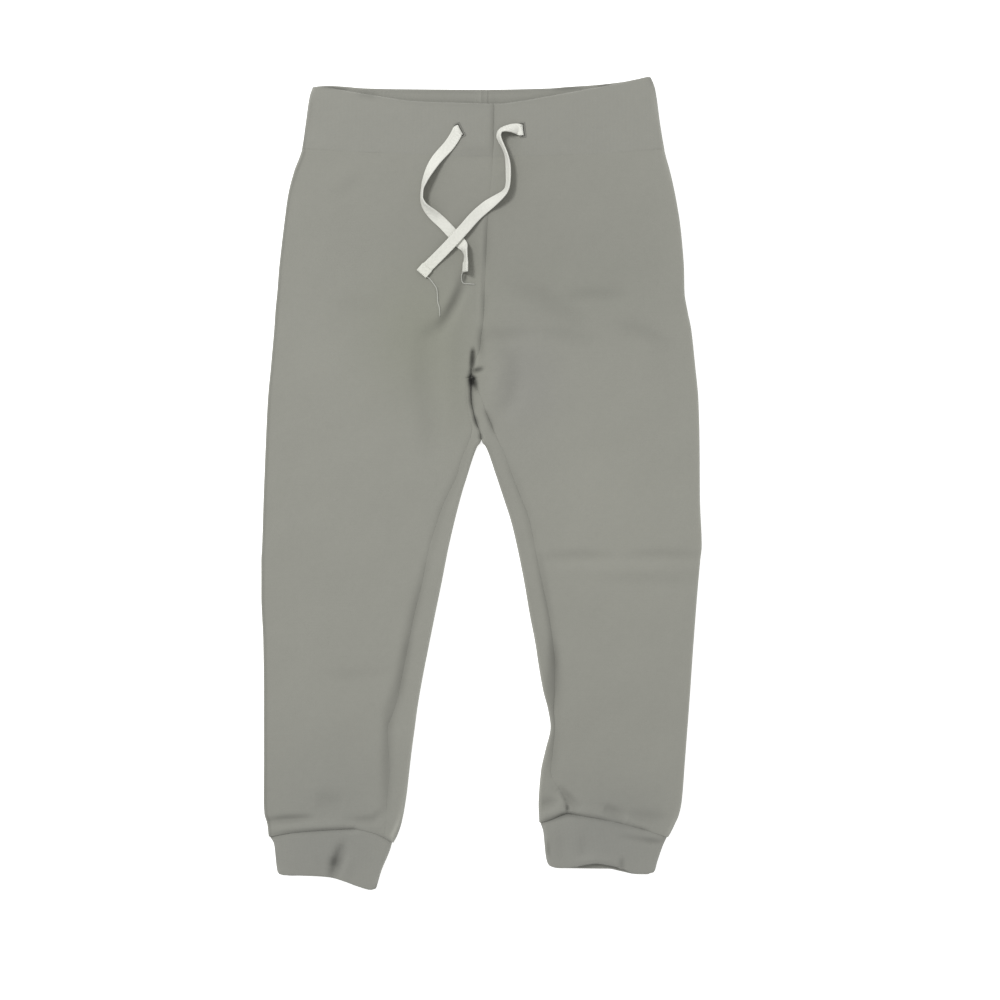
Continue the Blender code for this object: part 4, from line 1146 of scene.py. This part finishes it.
def maths(operation, first, second=None):
    """A maths node on a socket and a number or another socket, in the first one's tree."""
    tree = first.id_data
    made = node(tree, "ShaderNodeMath", operation=operation)
    tree.links.new(first, made.inputs[0])
    if isinstance(second, (int, float)):
        made.inputs[1].default_value = second
    elif second is not None:
        tree.links.new(second, made.inputs[1])
    return made.outputs[0]


def plus(first, second):
    return maths("ADD", first, second)


def times(first, second):
    return maths("MULTIPLY", first, second)


def noise(tree, scale, detail):
    made = node(tree, "ShaderNodeTexNoise")
    fill(made, Scale=scale, Detail=detail)
    place = node(tree, "ShaderNodeTexCoord")
    tree.links.new(place.outputs["Object"], made.inputs["Vector"])
    return made.outputs["Fac"]


def cloth_place(tree):
    """Place in the flat cloth, across and up, in millimetres."""
    laid = node(tree, "ShaderNodeUVMap", uv_map="cloth")
    parts = node(tree, "ShaderNodeSeparateXYZ")
    tree.links.new(laid.outputs["UV"], parts.inputs[0])
    return parts.outputs[0], parts.outputs[1]


def knit_height(tree):
    """Face of a jersey knit: columns of stitches shaped like a V."""
    across, up = cloth_place(tree)
    turns = maths("DIVIDE", across, WALE)
    half = maths("ABSOLUTE", plus(maths("FRACT", turns), -0.5))
    slant = plus(maths("DIVIDE", up, COURSE), half)
    loop = maths("SINE", times(slant, 2 * math.pi))
    between_wales = maths("COSINE", times(turns, 4 * math.pi))
    return plus(times(loop, LOOP_HEIGHT), times(between_wales, -WALE_HEIGHT))


def ribbed_height(tree):
    """The same knit with a shallow rib, for the waistband and the cuffs."""
    across = cloth_place(tree)[0]
    rib = maths("SINE", times(across, 2 * math.pi / RIB))
    return plus(knit_height(tree), times(rib, RIB_HEIGHT))


def twill_height(tree):
    """Herringbone of the tape: fine twill that turns back at its middle."""
    across, up = cloth_place(tree)
    bent = maths("ABSOLUTE", plus(across, -TAPE_WIDTH / 2))
    run = maths("SINE", times(plus(bent, up), 2 * math.pi / TWILL))
    ends = maths("SINE", times(across, 2 * math.pi / WARP_END))
    return plus(run, times(ends, WARP_HEIGHT))


# Looks: base colour, roughness, weight of the sheen, strength of the mottling as a share,
# and height of the relief in millimetres.
Look = namedtuple("Look", "colour roughness sheen mottle height")


def cloth_material(name, look, pattern):
    """Soft cloth: uneven tone, a procedural face, fuzz and a faint sheen."""
    made = bpy.data.materials.new(name)
    made.use_nodes = True
    tree = made.node_tree
    shader = tree.nodes["Principled BSDF"]
    fill(shader, Sheen_Weight=look.sheen, Sheen_Roughness=0.55, Specular_IOR_Level=0.2)
    face = pattern(tree)
    fuzz, patchy, broad = (noise(tree, *grain) for grain in (FUZZ, PATCHES, BROAD))

    level = plus(times(face, look.mottle * FACE_TONE), 1.0)
    for grain, share in ((fuzz, FUZZ_TONE), (patchy, 1.0), (broad, 1.0)):
        level = plus(level, times(plus(grain, -0.5), look.mottle * share))
    # the tone attribute carries the uneven tone and, on the fleece and band, painted shade and light
    tone_and_shade = node(tree, "ShaderNodeAttribute", attribute_name="tone")
    base = node(tree, "ShaderNodeVectorMath", operation="MULTIPLY")
    base.inputs[1].default_value = look.colour
    tree.links.new(tone_and_shade.outputs["Color"], base.inputs[0])
    colour = node(tree, "ShaderNodeVectorMath", operation="SCALE")
    tree.links.new(base.outputs[0], colour.inputs[0])
    tree.links.new(level, colour.inputs["Scale"])
    tree.links.new(colour.outputs[0], shader.inputs["Base Color"])
    rough = plus(times(fuzz, FUZZ_ROUGH), look.roughness - FUZZ_ROUGH / 2)
    tree.links.new(rough, shader.inputs["Roughness"])

    relief = plus(plus(face, times(fuzz, FUZZ_HEIGHT)), times(patchy, PATCH_HEIGHT))
    bump = node(tree, "ShaderNodeBump")
    fill(bump, Strength=1.0, Distance=look.height * MM)
    tree.links.new(relief, bump.inputs["Height"])
    tree.links.new(bump.outputs["Normal"], shader.inputs["Normal"])
    return made


KNIT_GREY = (0.262, 0.262, 0.231)
BAND_GREY = (0.262, 0.262, 0.233)
STITCH_GREY = (0.25, 0.25, 0.225)
ECRU = (0.76, 0.76, 0.70)
FRAYED = (0.42, 0.42, 0.39)
FLEECE = cloth_material("greige_fleece_knit", Look(KNIT_GREY, 0.93, 0.12, 0.05, 0.05), knit_height)
BAND = cloth_material("greige_band_knit", Look(BAND_GREY, 0.92, 0.12, 0.05, 0.05), ribbed_height)
TAPE = cloth_material("ecru_tape_twill", Look(ECRU, 0.8, 0.1, 0.05, 0.08), twill_height)
THREAD = cloth_material("ecru_thread", Look(ECRU, 0.8, 0.1, 0.05, 0.02), twill_height)
STRAND = cloth_material("frayed_thread", Look(FRAYED, 0.8, 0.1, 0.05, 0.02), twill_height)
STITCH = cloth_material("greige_stitch", Look(STITCH_GREY, 0.85, 0.1, 0.05, 0.02), twill_height)


def add_camera():
    data = bpy.data.cameras.new("camera")
    data.lens = LENS
    data.sensor_width = SENSOR
    camera = bpy.data.objects.new("camera", data)
    camera.location = (*VIEW_CENTRE, VIEW_WIDTH * LENS / SENSOR)
    bpy.context.scene.collection.objects.link(camera)
    bpy.context.scene.camera = camera


def add_light(name, energy, size, place):
    data = bpy.data.lights.new(name, "AREA")
    data.energy = energy
    data.size = size
    lamp = bpy.data.objects.new(name, data)
    lamp.location = place
    lamp.rotation_euler = (-Vector(place)).to_track_quat("-Z", "Y").to_euler()
    bpy.context.scene.collection.objects.link(lamp)


def add_studio():
    bpy.context.scene.view_settings.view_transform = "Standard"
    world = bpy.data.worlds.new("studio")
    bpy.context.scene.world = world
    world.use_nodes = True
    fill(world.node_tree.nodes["Background"], Color=WHITE, Strength=SKY)
    add_light("key", *KEY)
    paper = bpy.data.materials.new("paper")
    paper.use_nodes = True
    fill(paper.node_tree.nodes["Principled BSDF"], Base_Color=PAPER, Roughness=0.9,
         Emission_Color=WHITE, Emission_Strength=PAPER_GLOW)
    bpy.ops.mesh.primitive_plane_add(size=FLOOR_SIZE, location=(0, 0, FLOOR_HEIGHT))
    floor = bpy.context.object
    floor.name = "floor"
    floor.data.materials.append(paper)


add_camera()
add_studio()

for side, name in SIDE_NAMES.items():
    tape, middle, across, upward, run = add_tape(side)
    stitches = add_strands("drawstring_" + name + "_stitches",
                           tip_stitches(middle, across, upward, run), THREAD)
    frayed = []
    for thread in THREADS:
        if thread.side == side:
            path = smooth_path(thread.points, THREAD_STEPS)
            path[:, 2] += [cloth_height(x, y) for x, y in path[:, :2]]
            frayed.append((thread.radius, path))
    threads = add_strands("drawstring_" + name + "_threads", frayed, STRAND)

for side, name in SIDE_NAMES.items():
    front = add_front(side)
    back = add_back(side)
    band = add_double("waistband_" + name, band_surface(side), False, side == RIGHT)
    cut_slit(band, side)
    cuff = add_double("cuff_" + name, cuff_surface(side), True, True)
    rim = add_strands("buttonhole_" + name, buttonhole_stitches(side), STITCH)
